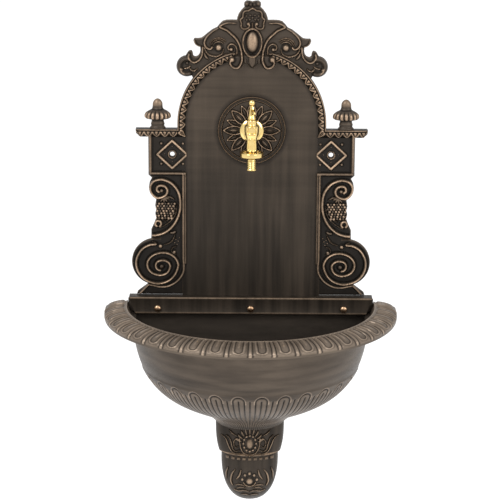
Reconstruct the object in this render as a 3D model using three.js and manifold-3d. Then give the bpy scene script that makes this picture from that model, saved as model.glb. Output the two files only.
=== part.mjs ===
// A cast wall fountain: a relief back plate with a tap, a half-round basin with a moulded rim,
// and a carved drop under it.
// Millimetres, +Z up. The back lies on the wall plane y = 0 and the front faces -Y.
// The origin is on the wall plane, midway between the two hanging holes.

import * as THREE from 'three';
import * as BufferGeometryUtils from 'three/addons/utils/BufferGeometryUtils.js';
import Module from 'manifold-3d';

const wasm = await Module();
wasm.setup();

// Clearances: the gap between pieces, how deep a joined form starts inside its neighbour,
// and how far a cutting body reaches past what it cuts
const fitGap = 0.3;
const sink = 1;
const beyond = 10;

// Hanging holes and the blocks that they are in
const holeSpacing = 235;
const holeDiameter = 7;
const holeBossDiameter = 13;
const blockBelowHoles = 31.5;
const blockWidth = 54.7;
const holeFromBlockEdge = 19.1;
const diamondHalfWidth = 22.5;
const diamondHalfHeight = 20;

// Back plate
const panelThickness = 7;
const columnThickness = 6;
const crestThickness = 9;
const columnRelief = 6;
const crestRelief = 5;
const crestFootRise = 5;
const mouldingDepth = 16;
const mouldingWidth = 11;
const archRadius = 109.5;
const archCentreHeight = 47;
const shelfHalfLength = 170.8;
const shelfTop = 39.2;
const leafPitch = 12.5;
const columnHeight = 170;
const rosetteRadius = 50.7;
const rosetteHeight = 37;
const rosetteRise = 1.2;
const petalCount = 8;

// Foot flange and its screws
const flangeTop = -216.3;
const flangeHeight = 26;
const flangeReach = 20;
const flangeLedge = 5.4;
const flangeEndSlope = 0.35;
const footSpread = 166;
const screwSpacing = 140;
const screwHeadDiameter = 10.3;
const screwShankDiameter = 5;
const screwDrop = 17.5;

// Basin
const basinBackReach = 18;
const rimOuterRadius = 220;
const rimInnerRadius = 186;
const rimTop = -226.8;
const rimDrop = 17;
const ribAngle = 8.8;
const bowlTopRadius = 178.4;
const bowlBottomRadius = 51.8;
const bowlBottom = -408.3;
const bowlShoulder = { inset: 6.6, drop: 0.862 };
const bowlUnderside = { inset: 91.9, drop: 0.732 };
const basinWall = 6;
const basinFloor = 10;
const reedTop = -322;
const reedAngle = 3;
const reedRelief = 1.6;

// Corbel under the basin
const corbelHalfWidth = 52.3;
const corbelFrontReach = 28;
const corbelLedge = -458.7;
const corbelTip = -545.4;
const corbelLedgeStep = 2.2;

// Finials
const finialSpacing = 277;
const finialHeight = 44.5;
const finialCapRadius = 19.5;
const finialDepthFactor = 0.72;
const finialAxisReach = 8.6;
const gadroonCount = 16;

// Tap
const tapReach = 52;
const tapInletRadius = 10;
const tapInletHeight = rosetteHeight;
const tapFlangeDiameter = 35;
const tapFlangeThickness = 6;
const tapBarrelRadius = 10.5;
const tapBodyTop = 53;
const tapSpoutBottom = 14;
const tapSpoutWidth = 15.5;
const glandRadius = 7.5;
const glandHeight = 8;
const leverHeight = 29;
const leverKnobRadius = 4.8;
const leverBladeLength = 30;
const leverBladeThickness = 4.5;
const leverTurn = 14;
const ringDiameter = 34.5;
const ringHeight = 9;
const hoseTailDiameter = 14;
const hoseTailLength = 19;
const waterwayDiameter = 9;

// Geometry helpers

function radians(degrees) {
  return degrees * Math.PI / 180;
}

function signedVolume(positions, indices) {
  let total = 0;
  for (let i = 0; i < indices.length; i += 3) {
    const [a, b, c] = [0, 1, 2].map((k) => new THREE.Vector3().fromArray(positions, 3 * indices[i + k]));
    total += a.dot(b.cross(c));
  }
  return total;
}

// A closed three.js geometry as a solid, with its faces pointing out.
function solid(geometry) {
  const bare = geometry.clone();
  bare.deleteAttribute('normal');
  bare.deleteAttribute('uv');
  const merged = BufferGeometryUtils.mergeVertices(bare, 1e-4);
  const positions = Float32Array.from(merged.attributes.position.array);
  const faces = [];
  for (let i = 0; i < merged.index.count; i += 3) {
    const [a, b, c] = [0, 1, 2].map((k) => merged.index.getX(i + k));
    if (a !== b && b !== c && c !== a) faces.push(a, b, c);
  }
  const outward = signedVolume(positions, faces) > 0;
  const triVerts = Uint32Array.from(outward ? faces : faces.reverse());
  return new wasm.Manifold(new wasm.Mesh({ numProp: 3, vertProperties: positions, triVerts }));
}

function join(solids) {
  return solids.reduce((whole, next) => whole.add(next));
}

// The closed body through a row of rings with the same number of points.
// The outline is the flat shape of a ring, used for the two end caps.
function loft(rings, outline, closed = false) {
  const count = rings[0].length;
  const faces = [];
  const last = closed ? rings.length : rings.length - 1;
  for (let i = 0; i < last; i++) {
    const from = i * count;
    const to = ((i + 1) % rings.length) * count;
    for (let j = 0; j < count; j++) {
      const k = (j + 1) % count;
      faces.push(from + j, from + k, to + k, from + j, to + k, to + j);
    }
  }
  if (!closed) {
    const flat = outline.map(([x, y]) => new THREE.Vector2(x, y));
    const top = (rings.length - 1) * count;
    const winding = Math.sign(THREE.ShapeUtils.area(flat));
    for (const [p, a, b] of THREE.ShapeUtils.triangulateShape(flat, [])) {
      const follows = Math.sign(THREE.ShapeUtils.area([flat[p], flat[a], flat[b]])) === winding;
      const [q, r] = follows ? [a, b] : [b, a];
      faces.push(p, r, q, top + p, top + q, top + r);
    }
  }
  const geometry = new THREE.BufferGeometry();
  geometry.setAttribute('position', new THREE.Float32BufferAttribute(rings.flat(2), 3));
  geometry.setIndex(faces);
  return geometry;
}

// A flat shape in the wall's plane, from one distance off the wall to another.
function slab(points, from, to) {
  const shape = new THREE.Shape(points.map(([x, z]) => new THREE.Vector2(x, z)));
  const geometry = new THREE.ExtrudeGeometry(shape, { depth: to - from, bevelEnabled: false });
  geometry.rotateX(Math.PI / 2);
  geometry.translate(0, -from, 0);
  return solid(geometry);
}

function disc(x, z, radius, from, to, sides = 24) {
  const geometry = new THREE.CylinderGeometry(radius, radius, to - from, sides);
  geometry.translate(x, -(from + to) / 2, z);
  return solid(geometry);
}

function bead(x, z, radius, level, around = 5) {
  const geometry = new THREE.SphereGeometry(radius, around, 3);
  geometry.rotateX(Math.PI / 2);
  geometry.translate(x, -level, z);
  return solid(geometry);
}

function boxBetween(low, high) {
  const size = high.map((value, i) => value - low[i]);
  const geometry = new THREE.BoxGeometry(...size);
  geometry.translate(...low.map((value, i) => value + size[i] / 2));
  return solid(geometry);
}

// Curves in the wall's plane, as lists of [x, z]

function arc(x, z, radius, fromDegrees, toDegrees, steps) {
  return Array.from({ length: steps + 1 }, (_, i) => {
    const angle = radians(fromDegrees + (toDegrees - fromDegrees) * i / steps);
    return [x + radius * Math.cos(angle), z + radius * Math.sin(angle)];
  });
}

// A scroll about a centre: its radii at successive quarter turns, joined smoothly.
function volute(x, z, radii, fromDegrees, turn, stepsPerQuarter = 3) {
  const line = new THREE.SplineCurve(radii.map((radius, i) => new THREE.Vector2(i, radius)));
  const steps = (radii.length - 1) * stepsPerQuarter;
  return Array.from({ length: steps + 1 }, (_, i) => {
    const radius = line.getPoint(i / steps).y;
    const angle = radians(fromDegrees + turn * 90 * i / stepsPerQuarter);
    return [x + radius * Math.cos(angle), z + radius * Math.sin(angle)];
  });
}

// Sweeps a section of [across, distance off the wall] along a path, mitred at its corners.
// The section may change along the path: then it is a function of the station's number.
function sweep(path, section, { closed = false, taper = () => 1, warp = () => 0 } = {}) {
  const count = path.length;
  const sectionAt = typeof section === 'function' ? section : () => section;
  const foot = Math.min(...sectionAt(0).map(([, level]) => level));
  const rings = path.map(([x, z], i) => {
    const before = path[closed ? (i + count - 1) % count : Math.max(i - 1, 0)];
    const after = path[closed ? (i + 1) % count : Math.min(i + 1, count - 1)];
    const a = new THREE.Vector2(x - before[0], z - before[1]);
    const b = new THREE.Vector2(after[0] - x, after[1] - z);
    if (a.length() === 0) a.copy(b);
    if (b.length() === 0) b.copy(a);
    a.normalize();
    b.normalize();
    const along = a.clone().add(b).normalize();
    const stretch = 1 / Math.max(along.dot(a), 0.6);
    const size = taper(i / (count - 1));
    return sectionAt(i).map(([across, level]) => {
      const px = x - along.y * across * stretch * size;
      const pz = z + along.x * across * stretch * size;
      return [px, -(foot + (level - foot) * size + warp(px, pz)), pz];
    });
  });
  return solid(loft(rings, sectionAt(0), closed));
}

function ridgeSection(width, foot, top) {
  return [[-width / 2, foot], [0, top], [width / 2, foot]];
}

function ridge(path, width, foot, top, options = {}) {
  return sweep(path, ridgeSection(width, foot, top), options);
}

// Thins a ridge towards both of its ends.
const thinBoth = (t) => 0.35 + 0.65 * Math.sin(Math.PI * (0.1 + 0.8 * t));

// Both halves of what stands on one side of the middle.
function bothSides(make) {
  return [make(1), make(-1)];
}

function onSide(side, points) {
  return points.map(([x, z]) => [side * x, z]);
}

// Arch and shelf moulding: an outer bead, and leaves that point inward from it.
// Each leaf is a tongue between two nicks, so the section swells and shrinks along the moulding.

function mouldingSection(swell) {
  const tip = mouldingWidth * (0.8 + 0.2 * swell);
  return [
    [0, sink], [mouldingWidth * 0.12, mouldingDepth], [tip, panelThickness + 1.4 + 3 * swell], [tip, sink],
  ];
}

function archMoulding() {
  const stations = [];
  const leafAngle = leafPitch / (archRadius - mouldingWidth / 2) * 180 / Math.PI;
  const arcLeaves = Math.round(180 / leafAngle);
  const shelfLeaves = Math.round((shelfHalfLength - archRadius) / leafPitch);
  const shelfPitch = (shelfHalfLength - archRadius) / shelfLeaves;
  for (let i = 0; i <= 2 * shelfLeaves; i++) {
    stations.push([[shelfHalfLength - shelfPitch * i / 2, shelfTop], i % 2]);
  }
  for (let i = 0; i <= 2 * arcLeaves; i++) {
    stations.push([arc(0, archCentreHeight, archRadius, 180 * i / (2 * arcLeaves), 0, 1)[0], i % 2]);
  }
  for (let i = 0; i <= 2 * shelfLeaves; i++) {
    stations.push([[-archRadius - shelfPitch * i / 2, shelfTop], i % 2]);
  }
  const path = stations.map(([place]) => place);
  return sweep(path, (i) => mouldingSection(stations[i][1]));
}

// Rosette behind the tap

function petal(angleDegrees, inner, length, width, rise) {
  const angle = radians(angleDegrees);
  const ground = panelThickness + rosetteRise;
  const edge = [[0, 0.6], [0.5, 1], [1, 0], [0.5, -1], [0, -0.6]];
  const ring = (shrink, level) => edge.map(([share, side]) => {
    const along = inner + length * (0.5 + (share - 0.5) * shrink);
    const across = width / 2 * side * shrink;
    return [
      along * Math.cos(angle) - across * Math.sin(angle),
      -level,
      rosetteHeight + along * Math.sin(angle) + across * Math.cos(angle),
    ];
  });
  return solid(loft([ring(1, ground - sink), ring(0.7, ground + rise)], edge));
}

function rosette() {
  const ringSteps = 20;
  const ground = panelThickness + rosetteRise;
  const profile = [[0, panelThickness - sink], [0, ground], [1.6, ground + 2.4], [3.8, ground]];
  const rings = profile.map(([inset, level]) => {
    const circle = arc(0, rosetteHeight, rosetteRadius - inset, 0, 360, ringSteps).slice(0, ringSteps);
    return circle.map(([x, z]) => [x, -level, z]);
  });
  const parts = [solid(loft(rings, rings[0].map(([x, , z]) => [x, z])))];
  const tapRoom = tapFlangeDiameter / 2 + 2 * fitGap;
  for (let i = 0; i < petalCount; i++) {
    const angle = 360 / petalCount * i;
    parts.push(petal(angle, tapRoom, rosetteRadius - 9.5 - tapRoom, 12, 3.2));
    parts.push(leafTip(angle + 180 / petalCount, rosetteRadius - 22, 11.5, 7.5, 2.4));
  }
  return join(parts);
}

// The tip of a leaf that shows between two petals.
function leafTip(angleDegrees, inner, length, width, rise) {
  const level = panelThickness + rosetteRise;
  const angle = radians(angleDegrees);
  const corner = (along, across, height) => [
    along * Math.cos(angle) - across * Math.sin(angle), -height,
    rosetteHeight + along * Math.sin(angle) + across * Math.cos(angle),
  ];
  const base = [[0, -width / 2], [length, 0], [0, width / 2]];
  const low = base.map(([along, across]) => corner(inner + along, across, level - sink));
  const high = base.map(([along, across]) => corner(inner + along * 0.8, across * 0.2, level + rise));
  return solid(loft([low, high], base));
}

// Blocks with the hanging holes

const holeX = holeSpacing / 2;
const columnInner = holeX - holeFromBlockEdge;
const blockOuter = columnInner + blockWidth;

function hangingBlock(side) {
  const ground = panelThickness;
  const body = slab(onSide(side, [
    [columnInner - 6, -blockBelowHoles], [blockOuter, -blockBelowHoles],
    [blockOuter, shelfTop - sink], [columnInner - 6, shelfTop - sink],
  ]), 0, ground);
  const corners = [[1, 0], [0, 1], [-1, 0], [0, -1]];
  const diamond = corners.map(([u, v]) => [side * holeX + u * diamondHalfWidth, v * diamondHalfHeight]);
  const parts = [
    body,
    ridge(diamond, 3.6, ground - sink, ground + 3.2, { closed: true }),
    disc(side * holeX, 0, holeBossDiameter / 2, ground - sink, ground + 1.8, 12),
  ];
  for (const [u, v] of corners) {
    const x = side * holeX + (u - v) * diamondHalfWidth * 0.71;
    parts.push(bead(x, (u + v) * diamondHalfHeight * 0.74, 2.9, ground));
  }
  return join(parts);
}

// Scroll columns. Their scrolls keep the proportions of the column's height.

const columnScale = columnHeight / 170;
const columnTop = -blockBelowHoles;

// A point of the column's drawing, measured from its top inner corner.
function column(side, [x, drop]) {
  return [side * (columnInner + x * columnScale), columnTop - drop * columnScale];
}

function columnCurve(side, points) {
  return points.map((point) => column(side, point));
}

function columnVolute(side, centre, radii, fromDegrees, turn, stepsPerQuarter) {
  const [x, z] = column(1, centre);
  const scaled = radii.map((radius) => radius * columnScale);
  return onSide(side, volute(x, z, scaled, fromDegrees, turn, stepsPerQuarter));
}

const upperScroll = { centre: [38, 22.5], reach: 16.6 };
const lowerScroll = { centre: [44.6, 133.4], reach: 36 };
const footRound = { centre: [38.6, 136], reach: 38.4 };

function columnGround(side) {
  const round = ({ centre, reach }, from, to, sides) => {
    const [x, z] = column(side, centre);
    return disc(x, z, reach * columnScale, from, to, sides);
  };
  const behind = [[-2, -2], [40, -2], [44, 40], [45, 62], [38, 82], [51.2, 84.5], [51.2, 99], [40, 120],
    [30, 160], [-2, 150]].map((point) => column(side, point));
  return join([
    slab(behind, 0, columnThickness),
    round(upperScroll, 0, columnThickness, 12),
    round(lowerScroll, 0, columnThickness, 18),
    round(footRound, 0, columnThickness, 14),
    round({ centre: [41, 73.5], reach: 6 }, 0, columnThickness, 8),
  ]);
}

// The narrow moulding down the block's outer edge, along its bottom, down the column and round its foot.
function columnMoulding(side) {
  const width = 5.2;
  const [footX, footZ] = column(1, footRound.centre);
  const reach = footRound.reach * columnScale;
  const path = [
    [blockOuter - width, shelfTop - mouldingWidth + sink],
    [blockOuter - width, columnTop + width],
    [columnInner, columnTop + width],
    ...arc(footX, footZ, reach, 180, 292, 9),
    [footSpread, flangeTop + sink],
  ];
  const section = [[0, sink], [0.6, panelThickness + 4.2], [width, panelThickness + 1.6], [width, sink]];
  const left = side > 0 ? 1 : -1;
  return sweep(onSide(side, path), section.map(([across, level]) => [left * across, level]));
}

function columnScrolls(side) {
  const foot = columnThickness - sink;
  const top = columnThickness + columnRelief;
  const cArc = [[9, 29], [7.6, 46], [11, 62], [19, 76.5], [31, 87.5], [43, 91], [50, 91.3]];
  const upper = [
    ...columnVolute(side, upperScroll.centre, [4.5, 8.8, 12, 11.2, 15.2, 17.4, 23.5], 0, 1, 3).slice(0, -2),
    ...columnCurve(side, cArc),
  ];
  const lowerRadii = [42, 39.6, 29.8, 23.8, 22.6, 22.2, 14.6, 11.6, 11, 9];
  const lower = columnVolute(side, [34.6, 139.4], lowerRadii, 75, -1, 3).slice(1);
  const leaf = [[15, 84], [14, 92], [23, 100], [33, 105]];
  const parts = [
    ridge(upper, 4.2, foot, top),
    ridge(lower, 4, foot, top),
    ridge(columnCurve(side, leaf), 5, foot, top - 1.5, { taper: thinBoth }),
  ];
  const beads = [[37.5, 22, 4], [34.6, 139.4, 5], [36.5, 107, 3.4], [40, 72.5, 3.6]];
  for (const [x, drop, radius] of beads) {
    const [px, pz] = column(side, [x, drop]);
    parts.push(bead(px, pz, radius * columnScale, columnThickness + 2));
  }
  return join(parts);
}

// A bunch of grapes hanging in the upper scroll, in rows that narrow downward.
function grapes(side) {
  const parts = [];
  const rows = 3;
  for (let row = 0; row < rows; row++) {
    const inRow = rows - row;
    for (let i = 0; i < inRow; i++) {
      const [x, z] = column(side, [21 + row * 4.3 + i * 8.6, 45 + row * 9]);
      parts.push(bead(x, z, 4.6 * columnScale, columnThickness + 1));
    }
  }
  return join(parts);
}

// Crest. It is drawn for an arch of this radius, measured from a little below the arch's centre,
// and grows with the arch.

const crestScale = archRadius / 109.5;
const crestStart = archCentreHeight - 2.5;

function crest(side, points) {
  return points.map(([x, z]) => [side * x * crestScale, crestStart + z * crestScale]);
}

function crestArc(side, x, z, radius, fromDegrees, toDegrees, steps) {
  const height = crestStart + z * crestScale;
  return onSide(side, arc(x * crestScale, height, radius * crestScale, fromDegrees, toDegrees, steps));
}

const crestHead = [[0, 181.5], [4, 183], [9, 183], [12.5, 179], [11.8, 174], [18, 167], [22.5, 155]];
const crestShoulder = [[23, 154.8], [33, 155], [43.5, 153], [51, 144.5]];
const crestLeaf = [[52, 144], [62, 138], [70, 131], [78, 127.8], [85, 127.8], [84.5, 121.5], [79, 116.5],
  [76, 115]];
const crestHook = [[75.8, 108], [79.5, 102], [85, 101.5], [87, 107], [88.5, 110], [93.5, 108.5], [97, 103]];
const crestLobe = { x: 95.5, z: 87, radius: 15.3 };

function crestGround() {
  const half = [
    ...crest(1, crestHead), ...crest(1, crestShoulder), ...crest(1, crestLeaf), ...crest(1, crestHook),
    ...crestArc(1, crestLobe.x, crestLobe.z, crestLobe.radius, 76, -110, 9),
    ...crest(1, [[84, 61], [60, 83.5], [30, 98], [0, 102.5]]),
  ];
  const outline = [...half, ...onSide(-1, half).slice(1, -1).reverse()];
  const foot = crest(1, [[0, 82], [6.5, 88], [9, 95], [14, 89], [21, 84.5], [29, 86], [33.5, 93], [31, 104]]);
  const footOutline = [...foot, ...onSide(-1, foot).slice(1).reverse()];
  return join([
    slab(outline, 0, crestThickness),
    slab(footOutline, panelThickness - sink, crestThickness + crestFootRise),
  ]);
}

function crestScrolls(side) {
  const foot = crestThickness - sink;
  const top = crestThickness + crestRelief;
  const onFoot = top + crestFootRise - sink;
  const bigC = [[46, 144.5], [36, 139.5], [26, 130.5], [19, 119.5], [15.8, 108], [15, 97], [18.5, 88.5],
    [24, 85.8], [29.5, 88.5], [31.5, 94]];
  const cartouche = [[1.2, 172], [6, 169], [13, 165.5], [14, 160], [17.3, 156], [16.2, 147], [11, 142.5],
    [6, 145]];
  const shoulder = [[24, 150.5], [36, 151], [47, 145.2]];
  const innerCurl = [[22, 104], [22, 112], [25, 118], [30, 120.3], [34, 117.5], [34, 113]];
  const leaf = [[50, 142.5], [57, 139], [63, 134], [68.5, 127], [69.3, 119], [65, 113.2], [59, 114.5]];
  const underLeaf = [[42, 113], [43.5, 106], [50, 102], [58, 102.2], [66, 107.5], [69.5, 114]];
  const tail = [[72, 116], [73, 105], [77, 97], [84, 93], [90.5, 96], [93, 103], [91.5, 108]];
  const lobeRim = crestArc(side, crestLobe.x, crestLobe.z, crestLobe.radius - 3.4, 95, -125, 7);
  const parts = [
    ridge(crest(side, cartouche), 3, foot, top),
    ridge(crest(side, shoulder), 3.2, foot, top, { taper: thinBoth }),
    ridge(crest(side, bigC), 3.2, foot, onFoot),
    ridge(crest(side, innerCurl), 2.6, foot, top),
    ridge(crest(side, leaf), 3.4, foot, top),
    ridge(crest(side, underLeaf), 2.8, foot, top),
    ridge(crest(side, tail), 3, foot, top),
    ridge(lobeRim, 6, foot, top),
  ];
  const beads = [[6, 149.5, 3.2], [29, 98, 4.2], [30.5, 112, 3], [49, 115.5, 4.6], [8.5, 178, 4], [101, 82, 4]];
  for (const [x, z, radius] of beads) {
    const onFootScroll = z < 100 && x < 40;
    const level = onFootScroll ? crestThickness + crestFootRise : crestThickness;
    const height = crestStart + z * crestScale;
    parts.push(bead(side * x * crestScale, height, radius * crestScale, level + radius * 0.3));
  }
  return join(parts);
}

function crestMiddle() {
  const middle = 123.5;
  const oval = (across, tall, level, steps) => Array.from({ length: steps }, (_, i) => {
    const angle = 2 * Math.PI * i / steps;
    return [across * crestScale * Math.cos(angle), -level,
      crestStart + crestScale * (middle + tall * Math.sin(angle))];
  });
  const flat = (ring) => ring.map(([x, , z]) => [x, z]);
  const steps = 14;
  const frame = flat(oval(14, 19.5, 0, steps));
  const boss = [oval(9.5, 14.5, crestThickness - sink, steps), oval(7.8, 12.4, crestThickness + 3.2, steps),
    oval(3, 5, crestThickness + 5.4, steps)];
  const leaf = [[0, 86], [5, 92], [3, 101], [-3, 101], [-5, 92]];
  const place = (points) => points.map(([x, z]) => [x * crestScale, crestStart + z * crestScale]);
  return join([
    ridge(frame, 3, crestThickness - sink, crestThickness + crestRelief, { closed: true }),
    solid(loft(boss, flat(boss[0]))),
    slab(place(leaf), crestThickness, crestThickness + 8),
  ]);
}

// Panel, foot flange and the whole back plate

const flangeBottom = flangeTop - flangeHeight;
const flangeEnd = rimInnerRadius - 3;
const basinBackThickness = basinWall;
const screwHeight = flangeTop - screwDrop;

function panel() {
  const edge = columnInner + 4;
  const footTop = columnTop - columnHeight * 0.82;
  const half = [
    [edge, shelfTop], [edge, columnTop], [edge + 26, footTop],
    [footSpread, flangeTop + sink], [footSpread, flangeTop - flangeLedge + sink],
  ];
  const outline = [...onSide(-1, half).reverse(), ...half];
  const radius = archRadius - sink;
  const spring = shelfTop - sink;
  const round = [[radius, spring], ...arc(0, archCentreHeight, radius, 0, 180, 26), [-radius, spring]];
  return join([slab(outline, 0, panelThickness), slab(round, 0, panelThickness)]);
}

// The flange stands forward of the basin's back wall, and its ends follow the basin's inside.
function footFlange() {
  const back = basinBackThickness + fitGap;
  const endAt = (drop) => flangeEnd - flangeEndSlope * drop;
  const bottomEnd = endAt(flangeHeight);
  const ledgeEnd = endAt(flangeLedge);
  const ledgeBottom = flangeTop - flangeLedge;
  const front = slab([
    [-flangeEnd, flangeTop], [-bottomEnd, flangeBottom], [bottomEnd, flangeBottom], [flangeEnd, flangeTop],
  ].reverse(), back, flangeReach);
  const ledge = slab([
    [-flangeEnd, flangeTop], [-ledgeEnd, ledgeBottom], [ledgeEnd, ledgeBottom], [flangeEnd, flangeTop],
  ].reverse(), 0, flangeReach);
  return front.add(ledge);
}

function screwPlaces() {
  return [-1, 0, 1].map((step) => step * screwSpacing);
}

function backPlate() {
  const solids = [panel(), archMoulding(), crestGround(), crestMiddle(), rosette(), footFlange()];
  for (const part of [hangingBlock, columnGround, columnMoulding, columnScrolls, grapes, crestScrolls]) {
    solids.push(...bothSides(part));
  }
  let plate = join(solids);
  for (const side of [1, -1]) {
    plate = plate.subtract(disc(side * holeX, 0, holeDiameter / 2, -sink, mouldingDepth, 12));
  }
  plate = plate.subtract(disc(0, tapInletHeight, tapInletRadius + fitGap, -sink, mouldingDepth, 14));
  for (const x of screwPlaces()) {
    const bore = screwShankDiameter / 2 + fitGap;
    plate = plate.subtract(disc(x, screwHeight, bore, -sink, flangeReach + sink, 8));
  }
  return plate;
}

// Basin

// The plan of the basin: a half circle in front and straight sides back to the wall.
function planRing(radius, z, steps, back, relief = () => 0) {
  const ring = [];
  for (let i = 0; i <= steps; i++) {
    const degrees = 180 * i / steps;
    const reach = radius + relief(degrees);
    const angle = radians(degrees);
    ring.push([reach * Math.cos(angle), -basinBackReach - reach * Math.sin(angle), z]);
  }
  ring.push([-radius, -back, z], [radius, -back, z]);
  return ring;
}

function planSolid(rows, steps, back, relief) {
  const rings = rows.map(([radius, z]) => planRing(radius, z, steps, back, relief));
  return solid(loft(rings, rings[0].map(([x, y]) => [x, y])));
}

const bowlTop = rimTop - rimDrop - 1;
const bowlHeight = bowlTop - bowlBottom;

// The bowl's profile, as a curve that bulges at its sides and runs in to the corbel.
const bowlCurve = new THREE.CubicBezierCurve(
  new THREE.Vector2(bowlTopRadius, bowlTop),
  new THREE.Vector2(bowlTopRadius - bowlShoulder.inset, bowlTop - bowlHeight * bowlShoulder.drop),
  new THREE.Vector2(bowlTopRadius - bowlUnderside.inset, bowlTop - bowlHeight * bowlUnderside.drop),
  new THREE.Vector2(bowlBottomRadius, bowlBottom),
);

function bowlRows(count, inset) {
  return Array.from({ length: count + 1 }, (_, i) => {
    const point = bowlCurve.getPoint(i / count);
    return [point.x - inset, point.y];
  });
}

function bowlRadiusAt(z) {
  const rows = bowlRows(60, 0);
  const below = rows.findIndex(([, height]) => height <= z);
  const [radiusA, heightA] = rows[below - 1];
  const [radiusB, heightB] = rows[below];
  return radiusA + (radiusB - radiusA) * (z - heightA) / (heightB - heightA);
}

function bowlOutside() {
  const upper = bowlRows(6, 0).filter(([, z]) => z > reedTop + 3);
  const reedStart = bowlRadiusAt(reedTop);
  const reedRows = [reedTop, reedTop - 38].map((z) => [bowlRadiusAt(z) - reedRelief / 2, z]);
  const rows = [...reedRows, [bowlBottomRadius - reedRelief, bowlBottom]];
  const steps = Math.round(180 / reedAngle) * 2;
  const zigzag = (degrees) => (Math.round(degrees * 2 / reedAngle) % 2 ? reedRelief : 0);
  return planSolid([...upper, [reedStart, reedTop]], 24, 0).add(planSolid(rows, steps, 0, zigzag));
}

// The rim's section: an inner lip, and an ovolo that falls to the outer edge.
// Ribs stand on the ovolo and an egg swells between each two of them.
function ovoloPoint(share, raised) {
  const angle = share * Math.PI / 2;
  const start = rimInnerRadius + 3;
  const radius = start + (rimOuterRadius - start) * Math.sin(angle);
  const z = rimTop - 1.5 - (rimDrop - 4.5) * (1 - Math.cos(angle));
  return [radius + raised * Math.sin(angle) * 0.5, z + raised * Math.cos(angle)];
}

function rimSection({ rib, egg }) {
  return [
    [bowlTopRadius - basinWall / 2, rimTop - rimDrop - 3], [rimInnerRadius, rimTop],
    ovoloPoint(0.2, rib), ovoloPoint(0.7, Math.max(rib, egg)),
    [rimOuterRadius, rimTop - rimDrop],
  ];
}

function rim() {
  const rib = { rib: 2, egg: 0 };
  const groove = { rib: 0, egg: 0 };
  const egg = { rib: 0, egg: 3 };
  const stations = [];
  const ribs = Math.floor(90 / ribAngle);
  for (let i = -ribs; i <= ribs; i++) {
    const degrees = 90 + i * ribAngle;
    stations.push([degrees, rib], [degrees + 1.2, groove]);
    if (i < ribs) stations.push([degrees + ribAngle / 2, egg], [degrees + ribAngle - 1.2, groove]);
  }
  const place = (degrees, [radius, z]) => [radius * Math.cos(radians(degrees)),
    -basinBackReach - radius * Math.sin(radians(degrees)), z];
  const plain = rimSection(groove);
  const rings = [
    plain.map(([radius, z]) => [radius, 0, z]),
    plain.map(([radius, z]) => [radius, -basinBackReach, z]),
    ...stations.map(([degrees, form]) => rimSection(form).map((point) => place(degrees, point))),
    plain.map(([radius, z]) => [-radius, -basinBackReach, z]),
    plain.map(([radius, z]) => [-radius, 0, z]),
  ];
  return solid(loft(rings, plain));
}

function basinInside() {
  const floor = bowlBottom + basinFloor;
  const [top, ...rows] = bowlRows(4, basinWall).filter(([, z]) => z > floor + 8);
  const floorRadius = bowlRadiusAt(floor + 6) - basinWall - 12;
  return planSolid([[top[0], rimTop + beyond], top, ...rows, [floorRadius, floor]], 20, basinBackThickness);
}

function basinBack() {
  const top = flangeTop - flangeLedge - fitGap;
  const half = rimInnerRadius - sink;
  return boxBetween([-half, -basinBackThickness, bowlTop], [half, 0, top]);
}

function basin() {
  let body = bowlOutside().add(rim()).subtract(basinInside()).add(basinBack());
  for (const x of screwPlaces()) {
    const bore = screwShankDiameter / 2 + fitGap;
    body = body.subtract(disc(x, screwHeight, bore, -sink, basinBackThickness + sink, 8));
  }
  return body;
}

// Corbel

const corbelTop = bowlBottom - fitGap;

// Half width and front reach at a height, as shares of the full ones.
function corbelShare(z) {
  if (z > corbelLedge) {
    const down = (corbelTop - z) / (corbelTop - corbelLedge);
    return 1 - 0.1 * down ** 3;
  }
  const down = (corbelLedge - z) / (corbelLedge - corbelTip);
  return (1 + 0.08 * down) * Math.sqrt(Math.max(1 - down ** 2.25, 0.0004));
}

function corbelSize(z) {
  const step = z > corbelLedge ? 0 : corbelLedgeStep;
  const lowerWidth = z > corbelLedge ? 1 : 0.865;
  const share = corbelShare(z);
  return {
    across: (corbelHalfWidth - step) * share * lowerWidth,
    reach: corbelFrontReach * share,
    back: basinBackReach * Math.min(1, share * 1.15),
  };
}

function corbelDepth(x, z) {
  const { across, reach, back } = corbelSize(z);
  return back + reach * Math.sqrt(Math.max(1 - (x / across) ** 2, 0));
}

function corbelRing(z, below = false) {
  const steps = 12;
  const { across, reach, back } = corbelSize(below ? z - 1e-6 : z);
  const ring = [];
  for (let i = 0; i <= steps; i++) {
    const angle = Math.PI * i / steps;
    ring.push([across * Math.cos(angle), -back - reach * Math.sin(angle), z]);
  }
  ring.push([-across, 0, z], [across, 0, z]);
  return ring;
}

function corbelBody() {
  const rings = [corbelRing(corbelTop)];
  const upper = 2;
  const lower = 5;
  const justAbove = 0.01;
  for (let i = 1; i <= upper; i++) {
    rings.push(corbelRing(corbelTop + (corbelLedge + justAbove - corbelTop) * i / upper));
  }
  for (let i = 0; i <= lower; i++) {
    const share = Math.sin(Math.PI / 2 * i / lower);
    rings.push(corbelRing(corbelLedge + (corbelTip - corbelLedge) * share, i === 0));
  }
  return solid(loft(rings, rings[0].map(([x, y]) => [x, y])));
}

// Relief on the curved front: drawn flat and carried out to the corbel's surface.
function corbelRidge(points, width, rise, options = {}) {
  return ridge(points, width, -sink, rise, { ...options, warp: corbelDepth });
}

function corbelBead(x, z, radius) {
  return bead(x, z, radius, corbelDepth(x, z), 4);
}

// The relief is drawn for a corbel of this half width, about the middle of a boss.
const corbelScale = corbelHalfWidth / 52.3;

function corbelDrawn(side, height, points) {
  return points.map(([x, z]) => [side * x * corbelScale, height + z * corbelScale]);
}

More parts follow.
